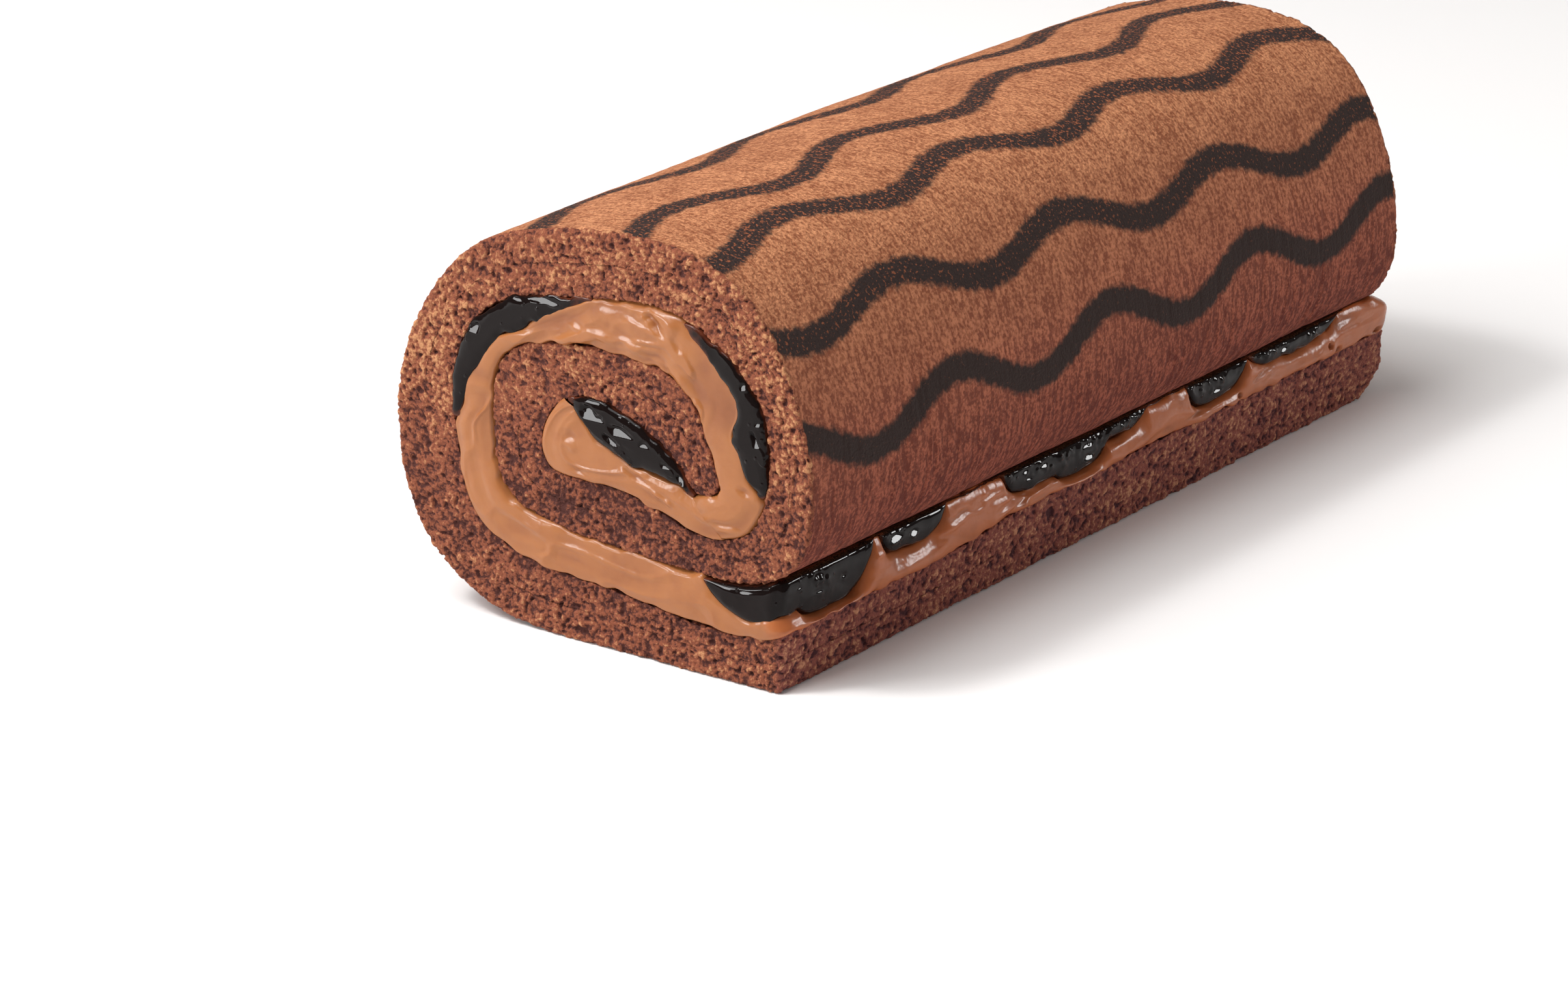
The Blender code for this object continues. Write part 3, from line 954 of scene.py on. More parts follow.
@dataclass(frozen=True)
class CreamFinish:
    """Spread chocolate cream: smooth and fatty, so highlights are soft and edges glow a little."""

    body: str = "#A0653A"
    # A redder copy of the body for the cream on the tail's side: painted shade.
    tail_shade_body: str = "#B06237"
    # The darker colour of the blotches and of the painted shade in the creases.
    thin: str = "#80482A"
    blotch_mm: float = 4.0
    ripple_mm: float = 2.6
    fine_mm: float = 0.5
    roughness: float = 0.27
    specular: float = 0.38
    glow: float = 0.15
    glow_mm: float = 1.2

    def material(self) -> bpy.types.Material:
        """Satin cream with painted shade in its creases and a redder shaded copy along the tail.

        Returns:
            The material.
        """
        t = Tree("spread_chocolate_cream")
        place = t.add("TexCoord", (), "Object")
        height, tail = (
            t.add("Attribute", (), "Fac", attribute_name=n) for n in ("height", "tail")
        )
        # Painted shade: the cream is darker where its relief dips into creases.
        low = t.add("MapRange", (height, 0.0, -0.5), **SMOOTH)
        low = t.add("Math", (low, 0.6), operation="MULTIPLY")
        blotch = t.add("TexNoise", lumps(place, self.blotch_mm, 3.0))
        blotch = t.add("MapRange", (blotch, 0.45, 0.75), **SMOOTH)
        dark = t.add("Math", (blotch, 0.25, low), operation="MULTIPLY_ADD", use_clamp=True)
        # Along the tail the body turns to its redder shaded copy: painted shade.
        body = {0: tail, 6: linear(self.body), 7: linear(self.tail_shade_body)}
        body = t.add("Mix", body, 2, **COLOUR)
        fine = t.add("TexNoise", lumps(place, self.fine_mm, 2.0))
        ripples = t.add("TexNoise", lumps(place, self.ripple_mm, 2.0))
        ripples = t.add("Math", (fine, 0.1, ripples), operation="MULTIPLY_ADD")
        return t.finish({
            "Base Color": t.add("Mix", {0: dark, 6: body, 7: linear(self.thin)}, 2, **COLOUR),
            "Roughness": self.roughness,
            "Specular IOR Level": self.specular,
            "Subsurface Weight": self.glow,
            "Subsurface Radius": (1.0, 0.45, 0.2),
            "Subsurface Scale": self.glow_mm * MM,
            "Normal": t.add("Bump", {"Strength": 0.3, "Distance": 0.5 * MM, "Height": ripples}),
        })


@dataclass(frozen=True)
class SauceFinish:
    """Poured dark chocolate sauce: near black, brown where thin, and wet, so it mirrors lights."""

    body: str = "#120B0A"
    thin: str = "#5A2C1C"
    uneven_mm: float = 1.8
    bubble_mm: float = 2.2
    ripple_mm: float = 2.6
    roughness: float = 0.05
    specular: float = 0.15

    def material(self) -> bpy.types.Material:
        """Dark wet body, browner toward its thin edges, with a few small bubbles.

        Returns:
            The material.
        """
        t = Tree("poured_chocolate_sauce")
        place = t.add("TexCoord", (), "Object")
        thick = t.add("Attribute", (), "Fac", attribute_name="thick")
        uneven = t.add("TexNoise", lumps(place, self.uneven_mm, 2.0))
        thick = t.add("Math", (uneven, 0.35, thick), operation="MULTIPLY_ADD")
        thin = t.add("MapRange", (thick, 0.62, 0.3), **SMOOTH)
        cell = {"Vector": place, "Scale": 1.0 / (self.bubble_mm * MM)}
        bubble = t.add("TexVoronoi", cell, "Distance")
        bubble = t.add("MapRange", (bubble, 0.2, 0.05), **SMOOTH)
        bubble = t.add("Math", (bubble, 4.0), operation="MULTIPLY")
        soft = t.add("TexNoise", lumps(place, self.ripple_mm, 1.0))
        soft = t.add("Math", (soft, 1.2, bubble), operation="MULTIPLY_ADD")
        body = {0: thin, 6: linear(self.body), 7: linear(self.thin)}
        return t.finish({
            "Base Color": t.add("Mix", body, 2, **COLOUR),
            "Roughness": self.roughness,
            "Specular IOR Level": self.specular,
            "Normal": t.add("Bump", {"Strength": 0.3, "Distance": 0.12 * MM, "Height": soft}),
        })


@dataclass(frozen=True)
class SweepFinish:
    """Matt white paper sweep: no gloss, so the floor takes only soft shadows."""

    colour: str = "#FBFAF9"
    roughness: float = 0.9
    specular: float = 0.1

    def material(self) -> bpy.types.Material:
        """Plain matt white.

        Returns:
            The material.
        """
        return Tree("white_paper").finish({
            "Base Color": linear(self.colour),
            "Roughness": self.roughness,
            "Specular IOR Level": self.specular,
        })


@dataclass(frozen=True)
class Waves:
    """Piped dark waves on the skin, each about as far from the next round the roll."""

    # Place round the skin at mid-length, drift along the roll, swing, wavelength, start.
    SHOWN = (
        (233.8, 2.5, 3.71, 48.7, 7.4), (215.1, 6.9, 2.98, 50.8, 48.3),
        (194.8, 3.8, 2.96, 50.3, 38.2), (177.1, -3.7, 3.83, 52.8, 27.9),
        (155.8, 3.0, 4.06, 49.3, 33.9),
    )
    spacing: float = 19.6
    hidden: int = 6
    swing: float = 3.5
    wavelength: float = 50.0
    start: float = 33.0
    start_shift: float = 5.0
    farthest: float = 50.0

    def lines(self) -> list[tuple[float, float, float, float, float]]:
        """The waves that show, and the same pattern carried on round the far side.

        Returns:
            Place, drift, swing, wavelength and start of each wave.
        """
        place = self.SHOWN[-1][0]
        rest = [
            (place - self.spacing * (k + 1), 0.0, self.swing, self.wavelength,
             self.start - self.start_shift * k)
            for k in range(self.hidden)
        ]
        return [*self.SHOWN, *rest]

    def distance(self, arc: Array, y: Array) -> Array:
        """Distance in millimetres from the nearest wave's middle line.

        The line is its place plus a drift plus a sine of the place along the roll, and the
        gap is shortened by the line's slope so that the wave keeps its width.

        Args:
            arc: Distance round the skin.
            y: Place along the roll.

        Returns:
            The distance, at most that of a place with no wave near.
        """
        best = np.full(np.broadcast(arc, y).shape, self.farthest)
        for place, drift, swing, length, start in self.lines():
            turn = 2 * np.pi * (y - start) / length
            line = place + drift * (y / ROLL_LENGTH - 0.5) + swing * np.sin(turn)
            slope = swing * 2 * np.pi / length * np.cos(turn)
            best = np.minimum(best, np.abs(arc - line) / np.sqrt(1 + slope**2))
        return best


@dataclass(frozen=True)
class Sponge:
    """The rolled sheet: its skin, and the crumb where it is cut.

    Clumps, grains and holes of the crumb have the sizes that the real ones have.
    """

    section: Section = Section()
    front_step: float = 0.24
    side_step: float = 0.28
    back_step: float = 0.45
    across_step: float = 0.225
    skin_step: float = 1.2
    row_step: float = 0.4
    wrap: float = 4.0
    tuck: float = 1.5
    fillet: float = 0.9
    cream_fillet: float = 0.3
    first_arc: float = 36.0
    last_station: float = 23.6
    thickest: float = 12.5
    near_corner: float = 1.2
    far_corner: float = 2.6
    clump_mm: float = 1.5
    grain_mm: float = 0.8
    hole_mm: float = 1.9
    bend_mm: float = 1.6

    def crumb_relief(self, points: Array) -> tuple[Array, Array]:
        """Height of the cut crumb: torn clumps, grains on them, and open pores between.

        Args:
            points: Places in millimetres.

        Returns:
            The height in millimetres, and a tone from about -1 to 1 for the colour.
        """
        points = points * np.array(CRUMB_DRAW)
        shift = np.stack([ripple(points, self.bend_mm, 17 + i) for i in range(3)], axis=-1)
        bent = points + 0.5 * shift
        clump, own = cells(bent, self.clump_mm, 11)
        grain, grain_own = cells(bent, self.grain_mm, 23)
        pore, pore_own = cells(bent, self.hole_mm, 37)
        hole = smoothstep(0.34, 0.14, pore) * (pore_own < 0.3)
        hole = np.maximum(hole, smoothstep(0.5, 0.85, ripple(bent, 0.9, 47)))
        broad = ripple(points, 5.0, 31)
        clumps = 0.8 * (0.6 - clump) + 0.7 * (own - 0.5)
        dome = np.sqrt(np.clip(1 - (grain / 0.75) ** 2, 0, 1))
        grains = 1.1 * (dome - 0.6) + 0.6 * (grain_own - 0.5)
        height = 0.28 * clumps + 0.28 * grains + 0.1 * broad - 0.45 * hole
        # The tone follows the relief: paler on raised clumps and grains, and darker in the holes,
        # which is partly painted shade.
        return height, 0.7 * clumps + 0.95 * grains + 0.15 * broad - 1.1 * hole

    def skin_relief(self, arc: Array, y: Array) -> tuple[Array, Array]:
        """Height of the skin: fine wrinkles that run round the roll, and a soft unevenness.

        Args:
            arc: Distance round the skin in millimetres.
            y: Place along the roll in millimetres.

        Returns:
            The height in millimetres, and the depth of the creases from 0 to 1.
        """
        flat = np.stack((arc, y, np.zeros_like(y)), axis=-1)
        warped = flat + np.stack((y * 0, 0.7 * ripple(flat, 10.0, 3), y * 0), axis=-1)
        lines = ripple(warped, (9.0, 1.3, 1.0), 5) + 0.5 * ripple(warped, (5.0, 0.8, 1.0), 6)
        crease = smoothstep(0.1, 1.0, lines)
        patch = 0.6 + 0.6 * ripple(flat, (22.0, 16.0, 1.0), 7)
        depth = np.clip(crease * patch * (0.35 + 0.65 * self.side(arc)), 0, 1)
        soft = ripple(flat, (30.0, 24.0, 1.0), 8)
        dimple = ripple(flat, (2.4, 2.0, 1.0), 9)
        return 0.16 * soft - 0.2 * depth + 0.05 * dimple - 0.14, depth

    def side(self, arc: Array) -> Array:
        """How far round from the top the skin is: 0 on top, 1 on a wall, 2 low on the wall."""
        wall = np.maximum(smoothstep(194, 241, arc), smoothstep(150, 95, arc))
        return wall + np.maximum(smoothstep(226, 252, arc), smoothstep(86, 60, arc))

    def across_rim(self, thickness: Array, count: int) -> tuple[Array, Array, Array]:
        """Across the cut edge from the skin, round both fillets, to the cream side.

        Args:
            thickness: Local thickness of the sheet, one for each place along the rim.
            count: Steps across the cut.

        Returns:
            Distance q from the skin's corner, depth into the sheet and distance in from the
            cut: a quarter circle joins the skin to the cut, and another the cut to the far side.
        """
        r, r_far = self.fillet, self.cream_fillet
        bend, bend_far = r * math.pi / 4, r_far * math.pi / 4
        before = -np.linspace(self.wrap, bend, 10)[:-1]
        width = thickness[:, None]
        inside = -bend + (width + bend + bend_far) * np.linspace(0, 1, count)[None, :]
        after = width + bend_far + np.linspace(0, self.tuck, 4)[None, 1:]
        first = np.broadcast_to(before[None, :], (len(thickness), len(before)))
        q = np.concatenate((first, inside, after), axis=1)
        near = np.clip((q + bend) / (2 * bend), 0, 1) * math.pi / 2
        far = np.clip((width + bend_far - q) / (2 * bend_far), 0, 1) * math.pi / 2
        depth = r * (1 - np.cos(near)) + np.clip(q - bend, 0, None)
        deep = width - r_far * (1 - np.cos(far)) - np.clip(width - bend_far - q, 0, None)
        inward = r * (1 - np.sin(near)) + np.clip(-bend - q, 0, None)
        inward_far = r_far * (1 - np.sin(far)) + np.clip(q - width - bend_far, 0, None)
        left = q < width / 2
        depth = np.where(left, depth, deep)
        # The outermost row dips under the skin, which closes the seam between them.
        depth[:, 0] += 0.25
        return q, depth, np.where(left, inward, inward_far)

    def rim(self, path: Array, count: int, outward: tuple[float, float, float]) -> Patch:
        """The cut crumb along a path, with the skin that wraps onto it.

        Args:
            path: Rows of distance, place along the roll and inward normal.
            count: Steps across the cut.
            outward: Direction that the cut looks in.

        Returns:
            The grid, one row for each row of the path.
        """
        stations, mid = self.section.distance_table(0.5)
        _, skin_arc = self.section.distance_table(0.0)
        at = np.interp(path[:, 0], mid, stations)
        skin, inner = self.section.sheet(at)
        width = np.linalg.norm(inner - skin, axis=-1)
        width = width + self.section.tail_rise(at, path[:, 1])
        q, depth, inward = self.across_rim(width, count)
        d = path[:, 0, None] + path[:, 2, None] * inward
        y = path[:, 1, None] + path[:, 3, None] * inward
        station = np.interp(d, mid, stations)
        points = self.section.in_sponge(station, depth / width[:, None], y)
        arc = np.interp(station, stations, skin_arc)
        flat = Patch(points, {}, outward)
        crumb_height, tone = self.crumb_relief(points)
        skin_height, crease = self.skin_relief(arc, y)
        ragged = 0.6 * ripple(points, 1.3, 61)
        crumb = smoothstep(-1.1, -0.2, q + ragged)
        # Crumb next to the cream is moister and darker; on the inner turn it is darker still,
        # partly from moisture and partly as painted shade.
        moist_and_shade = 0.3 * smoothstep(3.0, 0.0, width[:, None] - q)
        moist_and_shade = moist_and_shade + 0.34 * smoothstep(23.5, 26, station)
        # Low on the face and along the tail's side the crumb is darker, as painted shade, and it is
        # darker also at the very top.
        low = 0.4 * smoothstep(46, 24, points[..., 2]) * path[:, 3, None].clip(0, 1)
        low = low + 0.14 * path[:, 2, None] + 0.22 * smoothstep(58, 68, points[..., 2])
        tone = tone - moist_and_shade * (0.8 + 0.8 * ripple(points, 4.0, 63)) - low
        height = skin_height * (1 - crumb) + (crumb_height - 0.12) * crumb
        stripe = Waves().distance(arc, y) + 4 * smoothstep(0.6, 1.6, q)
        values = {
            "crumb": crumb, "tone": tone * crumb, "crease": crease, "stripe": stripe,
            "arc": arc, "along": y, "side": self.side(arc),
            # On the tail's side the crumb takes its rosier shaded copy: painted shade.
            "tail": path[:, 2, None] + 0 * q,
        }
        return Patch(flat.raised(height).points, values, outward)

    def skin(self) -> Patch:
        """The baked skin between the two rims, over all of the roll that shows.

        Returns:
            The grid, from above the tail round to where the skin turns in under the roll.
        """
        stations, mid = self.section.distance_table(0.5)
        _, skin_arc = self.section.distance_table(0.0)
        start = np.interp(np.interp(self.first_arc, skin_arc, stations), stations, mid)
        stop = np.interp(self.last_station, stations, mid)
        d = np.arange(start, stop, self.skin_step)
        edge = self.fillet * (1 - math.pi / 4) + self.wrap - 0.5
        y = np.linspace(edge, ROLL_LENGTH - edge, int(ROLL_LENGTH / self.row_step))
        grid_d, grid_y = np.meshgrid(d, y, indexing="ij")
        station = np.interp(grid_d, mid, stations)
        points = self.section.in_sponge(station, np.zeros_like(grid_d), grid_y)
        arc = np.interp(station, stations, skin_arc)
        height, crease = self.skin_relief(arc, grid_y)
        zero = np.zeros_like(arc)
        values = {
            "crumb": zero, "tone": zero, "crease": crease, "stripe": Waves().distance(arc, grid_y),
            "arc": arc, "along": grid_y, "side": self.side(arc), "tail": zero,
        }
        return Patch(points, values, (-1, 0, 0.3)).raised(height)

    def lining(self) -> list[Patch]:
        """Plain surfaces out of sight: under the tail, inside the roll and next to the cream.

        Returns:
            One grid for each.
        """
        y = np.linspace(3.0, ROLL_LENGTH - 3.0, 12)
        # First and last station, depth in the sheet, outward side.
        spans = (
            (0.2, 3.2, 0.0, (0, 0, -1)), (23.4, 40.0, 0.0, (0, 0, -1)),
            (0.2, 40.0, 1.0, (0, 0, 1)),
        )
        made = []
        for first, last, depth, outward in spans:
            station, row = np.meshgrid(np.linspace(first, last, 90), y, indexing="ij")
            points = self.section.in_sponge(station, station * 0 + depth, row)
            zero = station * 0
            values = {key: zero for key in ("tone", "crease", "arc", "along", "side", "tail")}
            values |= {"crumb": zero + depth, "stripe": zero + 9}
            made.append(Patch(points, values, outward))
        return made

    def build(self, material: bpy.types.Material) -> list[bpy.types.Object]:
        """Makes the front crumb, the side and back crumb, and the skin.

        Args:
            material: Finish of the sponge.

        Returns:
            The three pieces.
        """
        _, mid = self.section.distance_table(0.5)
        count = int(self.thickest / self.across_step)
        face_path, side_path = (
            RimPath(float(mid[-1]), self.near_corner, self.far_corner, step, self.back_step)
            for step in (self.front_step, self.side_step)
        )
        front = face_path.front()
        rest = np.concatenate((front[-1:], side_path.side_and_back()[1:]))
        return [
            mesh_from("sponge_front", [self.rim(front, count, (0, -1, 0))], material),
            mesh_from("sponge_side_and_back", [self.rim(rest, count - 4, (1, 0, 0))], material),
            mesh_from("sponge_skin", [self.skin(), *self.lining()], material),
        ]


@dataclass(frozen=True)
class Cream:
    """The layer of cream, where it shows at the cut faces and along the tail."""

    section: Section = Section()
    fine: float = 0.33
    coarse: float = 0.55
    proud: float = 0.6
    tail_proud: float = 1.5
    tail_calm: float = 0.35
    lap: float = 0.4
    tuck: float = 1.0
    near_corner: float = 2.6
    far_corner: float = 3.2
    pit_depth: float = 1.6
    FRONT_SPOTS = (
        Spot(14.8, 59.0, 4.0, 0.8, -42), Spot(1.0, 57.2, 1.8, 0.7, -10),
        Spot(7.4, 57.0, 2.6, 0.8, -22), Spot(12.6, 55.0, 2.0, 0.5, -14),
        Spot(-3.7, 57.6, 1.2, 0.5), Spot(-5.7, 36.8, 1.5, 0.9, -30),
        Spot(-3.4, 31.3, 1.6, 0.5, -20), Spot(27.0, 28.0, 2.4, 0.6, -5),
        Spot(32.6, 34.6, 1.4, 0.6, -20), Spot(10.6, 32.1, 3.4, 0.5, -24),
        Spot(10.0, 60.6, 2.6, 0.5, -20), Spot(18.6, 56.4, 2.2, 0.5, -55),
    )
    SIDE_SPOTS = (
        Spot(51.4, 16.8, 2.6, 0.7, 12), Spot(67.5, 15.0, 3.4, 0.6, 6),
        Spot(75.0, 15.4, 2.0, 0.5, -8), Spot(61.0, 18.2, 2.4, 0.4),
        Spot(181.3, 18.2, 3.2, 0.7, 5), Spot(132.0, 14.4, 3.6, 0.4),
        Spot(154.0, 16.0, 2.8, 0.5, 8),
    )
    # Place along the tail, height and radius.
    PITS = (
        (178.5, 15.1, 0.8), (181.2, 13.5, 1.0), (189.8, 13.6, 0.9), (192.6, 16.3, 0.7),
        (145.5, 13.9, 0.8), (89.0, 14.2, 0.6),
    )

    def worked(self, points: Array) -> Array:
        """How much the knife dragged the cut cream: most at the upper right of the face.

        Args:
            points: Places in millimetres.

        Returns:
            A share from 0 to 1.
        """
        x, z = points[..., 0], points[..., 2]
        top = smoothstep(-16, -4, x) * smoothstep(27, 16, x) * smoothstep(49, 53, z)
        hook = smoothstep(20, 24, x) * smoothstep(34, 28, z) * smoothstep(22, 25, z)
        return np.maximum(top, 0.7 * hook)

    def relief(self, points: Array, run: Array, across: Array, worked: Array) -> Array:
        """Smears drawn along the layer: ridges that wander, and broad soft waves.

        Args:
            points: Places in millimetres.
            run: Distance along the ribbon in millimetres.
            across: Distance across it in millimetres.
            worked: How much the knife dragged it, from 0 to 1.

        Returns:
            The height in millimetres.
        """
        zero = run * 0
        bent = across + 2.2 * ripple(np.stack((run, across, zero), axis=-1), (15.0, 6.0, 1.0), 71)
        drawn = np.stack((run, bent, zero), axis=-1)
        smear = ripple(drawn, (17.0, 1.7, 1.0), 73)
        fold = ripple(drawn, (7.0, 2.6, 1.0), 77)
        ridge = 1 - np.abs(ripple(drawn, (12.0, 4.0, 1.0), 79)) * 3.2
        soft = ripple(points, 6.0, 75)
        wild = 0.65 + 0.5 * ripple(points, 13.0, 85)
        torn = 1 - np.abs(ripple(drawn, (3.4, 1.3, 1.0), 87)) * 2.6
        drag = worked * (0.06 * np.clip(torn, -0.5, 1) + 0.3 * fold + 0.34 * smear)
        calm = 0.2 * smear + 0.26 * fold + 0.35 * soft + 0.45 * np.clip(ridge, 0, 1) - 0.1
        return wild * calm + drag

    def middle_line(self) -> tuple[Array, Array]:
        """Stations along the layer, and the distance along its middle at them.

        Returns:
            Evenly spaced stations, and the length of the middle line up to each.
        """
        stations = np.linspace(0, 32, 3201)
        near, far = self.section.cream_edges(stations, stations * 0)
        steps = np.linalg.norm(np.diff((near + far) / 2, axis=0), axis=-1)
        return stations, np.concatenate(((0.0,), np.cumsum(steps)))

    def ribbon(self, rows: Array, edge: Array, along: Array, out: Array) -> tuple[Array, Array]:
        """Places of the ribbon when it stands out by a given height.

        Args:
            rows: The path round the cut edges, as rows of distance, place and inward normal.
            edge: Place across the ribbon, from -1 to 1.
            along: Distance travelled along the path in millimetres.
            out: How far it stands out in millimetres.

        Returns:
            The points, and the distance across the layer at each.
        """
        stations, run = self.middle_line()
        inward = self.tuck * smoothstep(0.86, 1.0, np.abs(edge)) - out
        d = rows[:, 0, None] + rows[:, 2, None] * inward
        y = rows[:, 1, None] + rows[:, 3, None] * inward
        station = np.interp(d, run, stations)
        near, far = self.section.cream_edges(station, np.clip(y, 0, ROLL_LENGTH))
        wide = np.maximum(np.linalg.norm(far - near, axis=-1), 0.5)
        # The layer laps a little over the crumb on both sides, unevenly.
        spread = np.stack((along, edge * 40 + d * 0, d * 0), axis=-1)
        uneven = 0.5 * ripple(spread, (2.6, 30.0, 1.0), 81)
        uneven = uneven + 0.45 * ripple(spread, (7.0, 30.0, 1.0), 83)
        lap = self.lap * (1 - 0.6 * rows[:, 2, None]) + uneven * 0.8
        share = 0.5 + edge / 2 * (1 + 2 * lap / wide)
        spot = near + (far - near) * share[..., None]
        # Past the end of the layer the ribbon bulges out over the tail.
        spot[..., 0] += np.clip(-d, 0, None)
        return self.section.in_frame(spot[..., 0], y, spot[..., 1]), share * wide

    def strip(self) -> Patch:
        """One ribbon from the middle of the front, round the tail's side, to the back.

        Across the layer it is a low dome. Smears, spots and pits are added to how far it
        stands out, so that the spots keep their tilt.

        Returns:
            The grid.
        """
        _, run = self.middle_line()
        corners = (self.near_corner, self.far_corner)
        path = RimPath(float(run[-1]), *corners, self.fine, self.coarse)
        rows = np.concatenate((path.front()[:-1], path.side_and_back()))
        steps = np.linalg.norm(np.diff(rows[:, :2], axis=0), axis=-1)
        edge = np.linspace(-1, 1, 41)[None, :]
        travelled = np.concatenate(((0.0,), np.cumsum(steps)))[:, None] + 0 * edge
        on_side = rows[:, 2, None]
        proud = self.proud + (self.tail_proud - self.proud) * on_side
        dome = proud * (1 - np.abs(edge) ** 3)
        points, across = self.ribbon(rows, edge, travelled, dome)
        worked = self.worked(points) * (1 - on_side) + 0.4 * on_side
        height = self.relief(points, travelled, across, worked) * (1 - np.abs(edge) ** 6)
        height = height * (1 - self.tail_calm * on_side)
        whole = dome + height
        ragged = 0.35 * ripple(points, 1.3, 89)
        x, y, z = points[..., 0], rows[:, 1, None] + 0 * edge, points[..., 2]
        front = SOFT_FACE_TILT.ease(self.FRONT_SPOTS, x, z, whole, ragged)
        side = SOFT_SIDE_TILT.ease(self.SIDE_SPOTS, y, z, whole, ragged)
        spotted = np.where(on_side > 0.5, side, np.where(rows[:, 3, None] > 0.5, front, whole))
        whole = whole + (spotted - whole) * (1 - edge**4)
        for place, high, radius in self.PITS:
            gap = np.hypot(y - place, z - high) / radius
            whole = whole - self.pit_depth * on_side * np.clip(1 - gap**2, 0, 1) ** 2
        points, _ = self.ribbon(rows, edge, travelled, whole)
        # The height darkens the creases and the tail share picks the shaded copy along the tail,
        # both painted shade.
        values = {"height": whole - dome, "tail": on_side + 0 * edge}
        return Patch(points, values, (0, -1, 0))

    def build(self, material: bpy.types.Material) -> list[bpy.types.Object]:
        """Makes the cream's one ribbon."""
        return [mesh_from("cream_layer", [self.strip()], material)]


@dataclass(frozen=True)
class Pool:
    """A pool of sauce between cream and sponge, where it shows at a cut face."""

    name: str
    marks: Array
    middle: bool
    seed: int
    spots: tuple[Spot, ...]
    section: Section = Section()
    proud: float = 0.95
    tip: float = 2.2
    full_width: float = 4.0
    lap: float = 0.35
    sink: float = 1.5
    LEFT_SPOTS = (Spot(-26.5, 52.4, 1.7, 0.8, 50), Spot(-11.4, 60.8, 4.0, 0.6, -5))
    RIGHT_SPOTS = (
        Spot(34.2, 43.7, 2.6, 0.6, -65), Spot(34.4, 47.6, 0.6, 0.5), Spot(31.4, 53.6, 0.8, 0.6),
    )
    MIDDLE_SPOTS = (
        Spot(0.0, 41.3, 3.0, 1.4, -35), Spot(6.4, 39.7, 3.2, 1.1, -22), Spot(10.4, 38.7, 1.3, 0.9),
        Spot(4.4, 37.7, 3.0, 0.6, -36), Spot(15.3, 36.0, 1.3, 0.6, -30),
        Spot(18.2, 34.3, 1.2, 0.4, -50),
    )

    def edges(self, station: Array) -> tuple[Array, Array]:
        """The pool's side against the sponge and its side against the cream.

        Args:
            station: Place along the sheet.

        Returns:
            The places on both sides, with X and Z last.
        """
        if self.middle:
            return self.section.middle_edge(station)
        _, near = self.section.sheet(station)
        at = np.clip(station, self.marks[0, 0], self.marks[-1, 0])
        depth = self.section.pool_depth(self.marks, at)
        return near, near + self.section.across(station) * depth[:, None]

    def cap(self, cut: Cut) -> Patch:
        """The bulging end of the pool at one cut face, with its rim tucked in.

        Across the pool the surface is a flattened half ellipse, its two ends close as round
        tips, and both edges wander so that it laps unevenly over cream and crumb.

        Args:
            cut: Which cut face.

        Returns:
            The grid, along the pool and across it.
        """
        first, last = self.marks[0, 0], self.marks[-1, 0]
        steps = 300 if cut is Cut.FRONT else 180
        station = np.linspace(first - (0.6 if self.middle else 0.15), last + 0.15, steps)
        near, far = self.edges(station)
        run = np.concatenate(((0.0,), np.cumsum(np.linalg.norm(np.diff(near, axis=0), axis=-1))))
        ends = np.minimum(run, run[-1] - run) / self.tip
        taper = np.sqrt(np.clip(1 - (1 - np.clip(ends, 0, 1)) ** 2, 0, 1))[:, None]
        wide = np.linalg.norm(far - near, axis=-1)[:, None]
        v = np.linspace(0, 1, 37)[None, :]
        # Each edge wanders by its own pattern, since the two lie far apart in the noise.
        along, which = run[:, None] + v * 0, 40.0 * np.round(v) + run[:, None] * 0
        sides = np.stack((along, which, along * 0), axis=-1)
        uneven = 0.55 * ripple(sides, (2.8, 1.0, 1.0), self.seed)
        uneven = uneven + 0.12 * ripple(sides, (1.1, 1.0, 1.0), self.seed + 2)
        spread = 1 + 2 * (self.lap + uneven) / np.maximum(wide, 1.2)
        reach = 0.5 + (v - 0.5) * spread * (0.1 + 0.9 * taper)
        spot = near[:, None, :] + (far - near)[:, None, :] * reach[..., None]
        edge = np.abs(2 * v - 1)
        lens = np.sqrt(np.clip(1 - edge**2.3, 0, 1)) * taper
        broad = np.clip(wide / self.full_width, 0.3, 1.0)
        sign = -1 if cut is Cut.FRONT else 1
        flat = self.section.in_frame(spot[..., 0], cut.value + 0 * reach, spot[..., 1])
        out = self.proud * lens * broad + 0.16 * ripple(flat, 3.2, self.seed + 1) * lens
        ragged = 0.3 * ripple(flat, 1.5, self.seed + 3)
        eased = FACE_TILT.ease(self.spots, flat[..., 0], flat[..., 2], out, ragged)
        out = out + (eased - out) * smoothstep(0.2, 0.7, lens)
        out = out - self.sink * (1 - smoothstep(0.0, 0.5, lens))
        points = self.section.in_frame(spot[..., 0], cut.value + sign * out, spot[..., 1])
        return Patch(points, {"thick": lens * broad}, (0, sign, 0))

    def build(self, material: bpy.types.Material) -> list[bpy.types.Object]:
        """Makes both ends of the pool as one piece."""
        return [mesh_from(self.name, [self.cap(Cut.FRONT), self.cap(Cut.BACK)], material)]


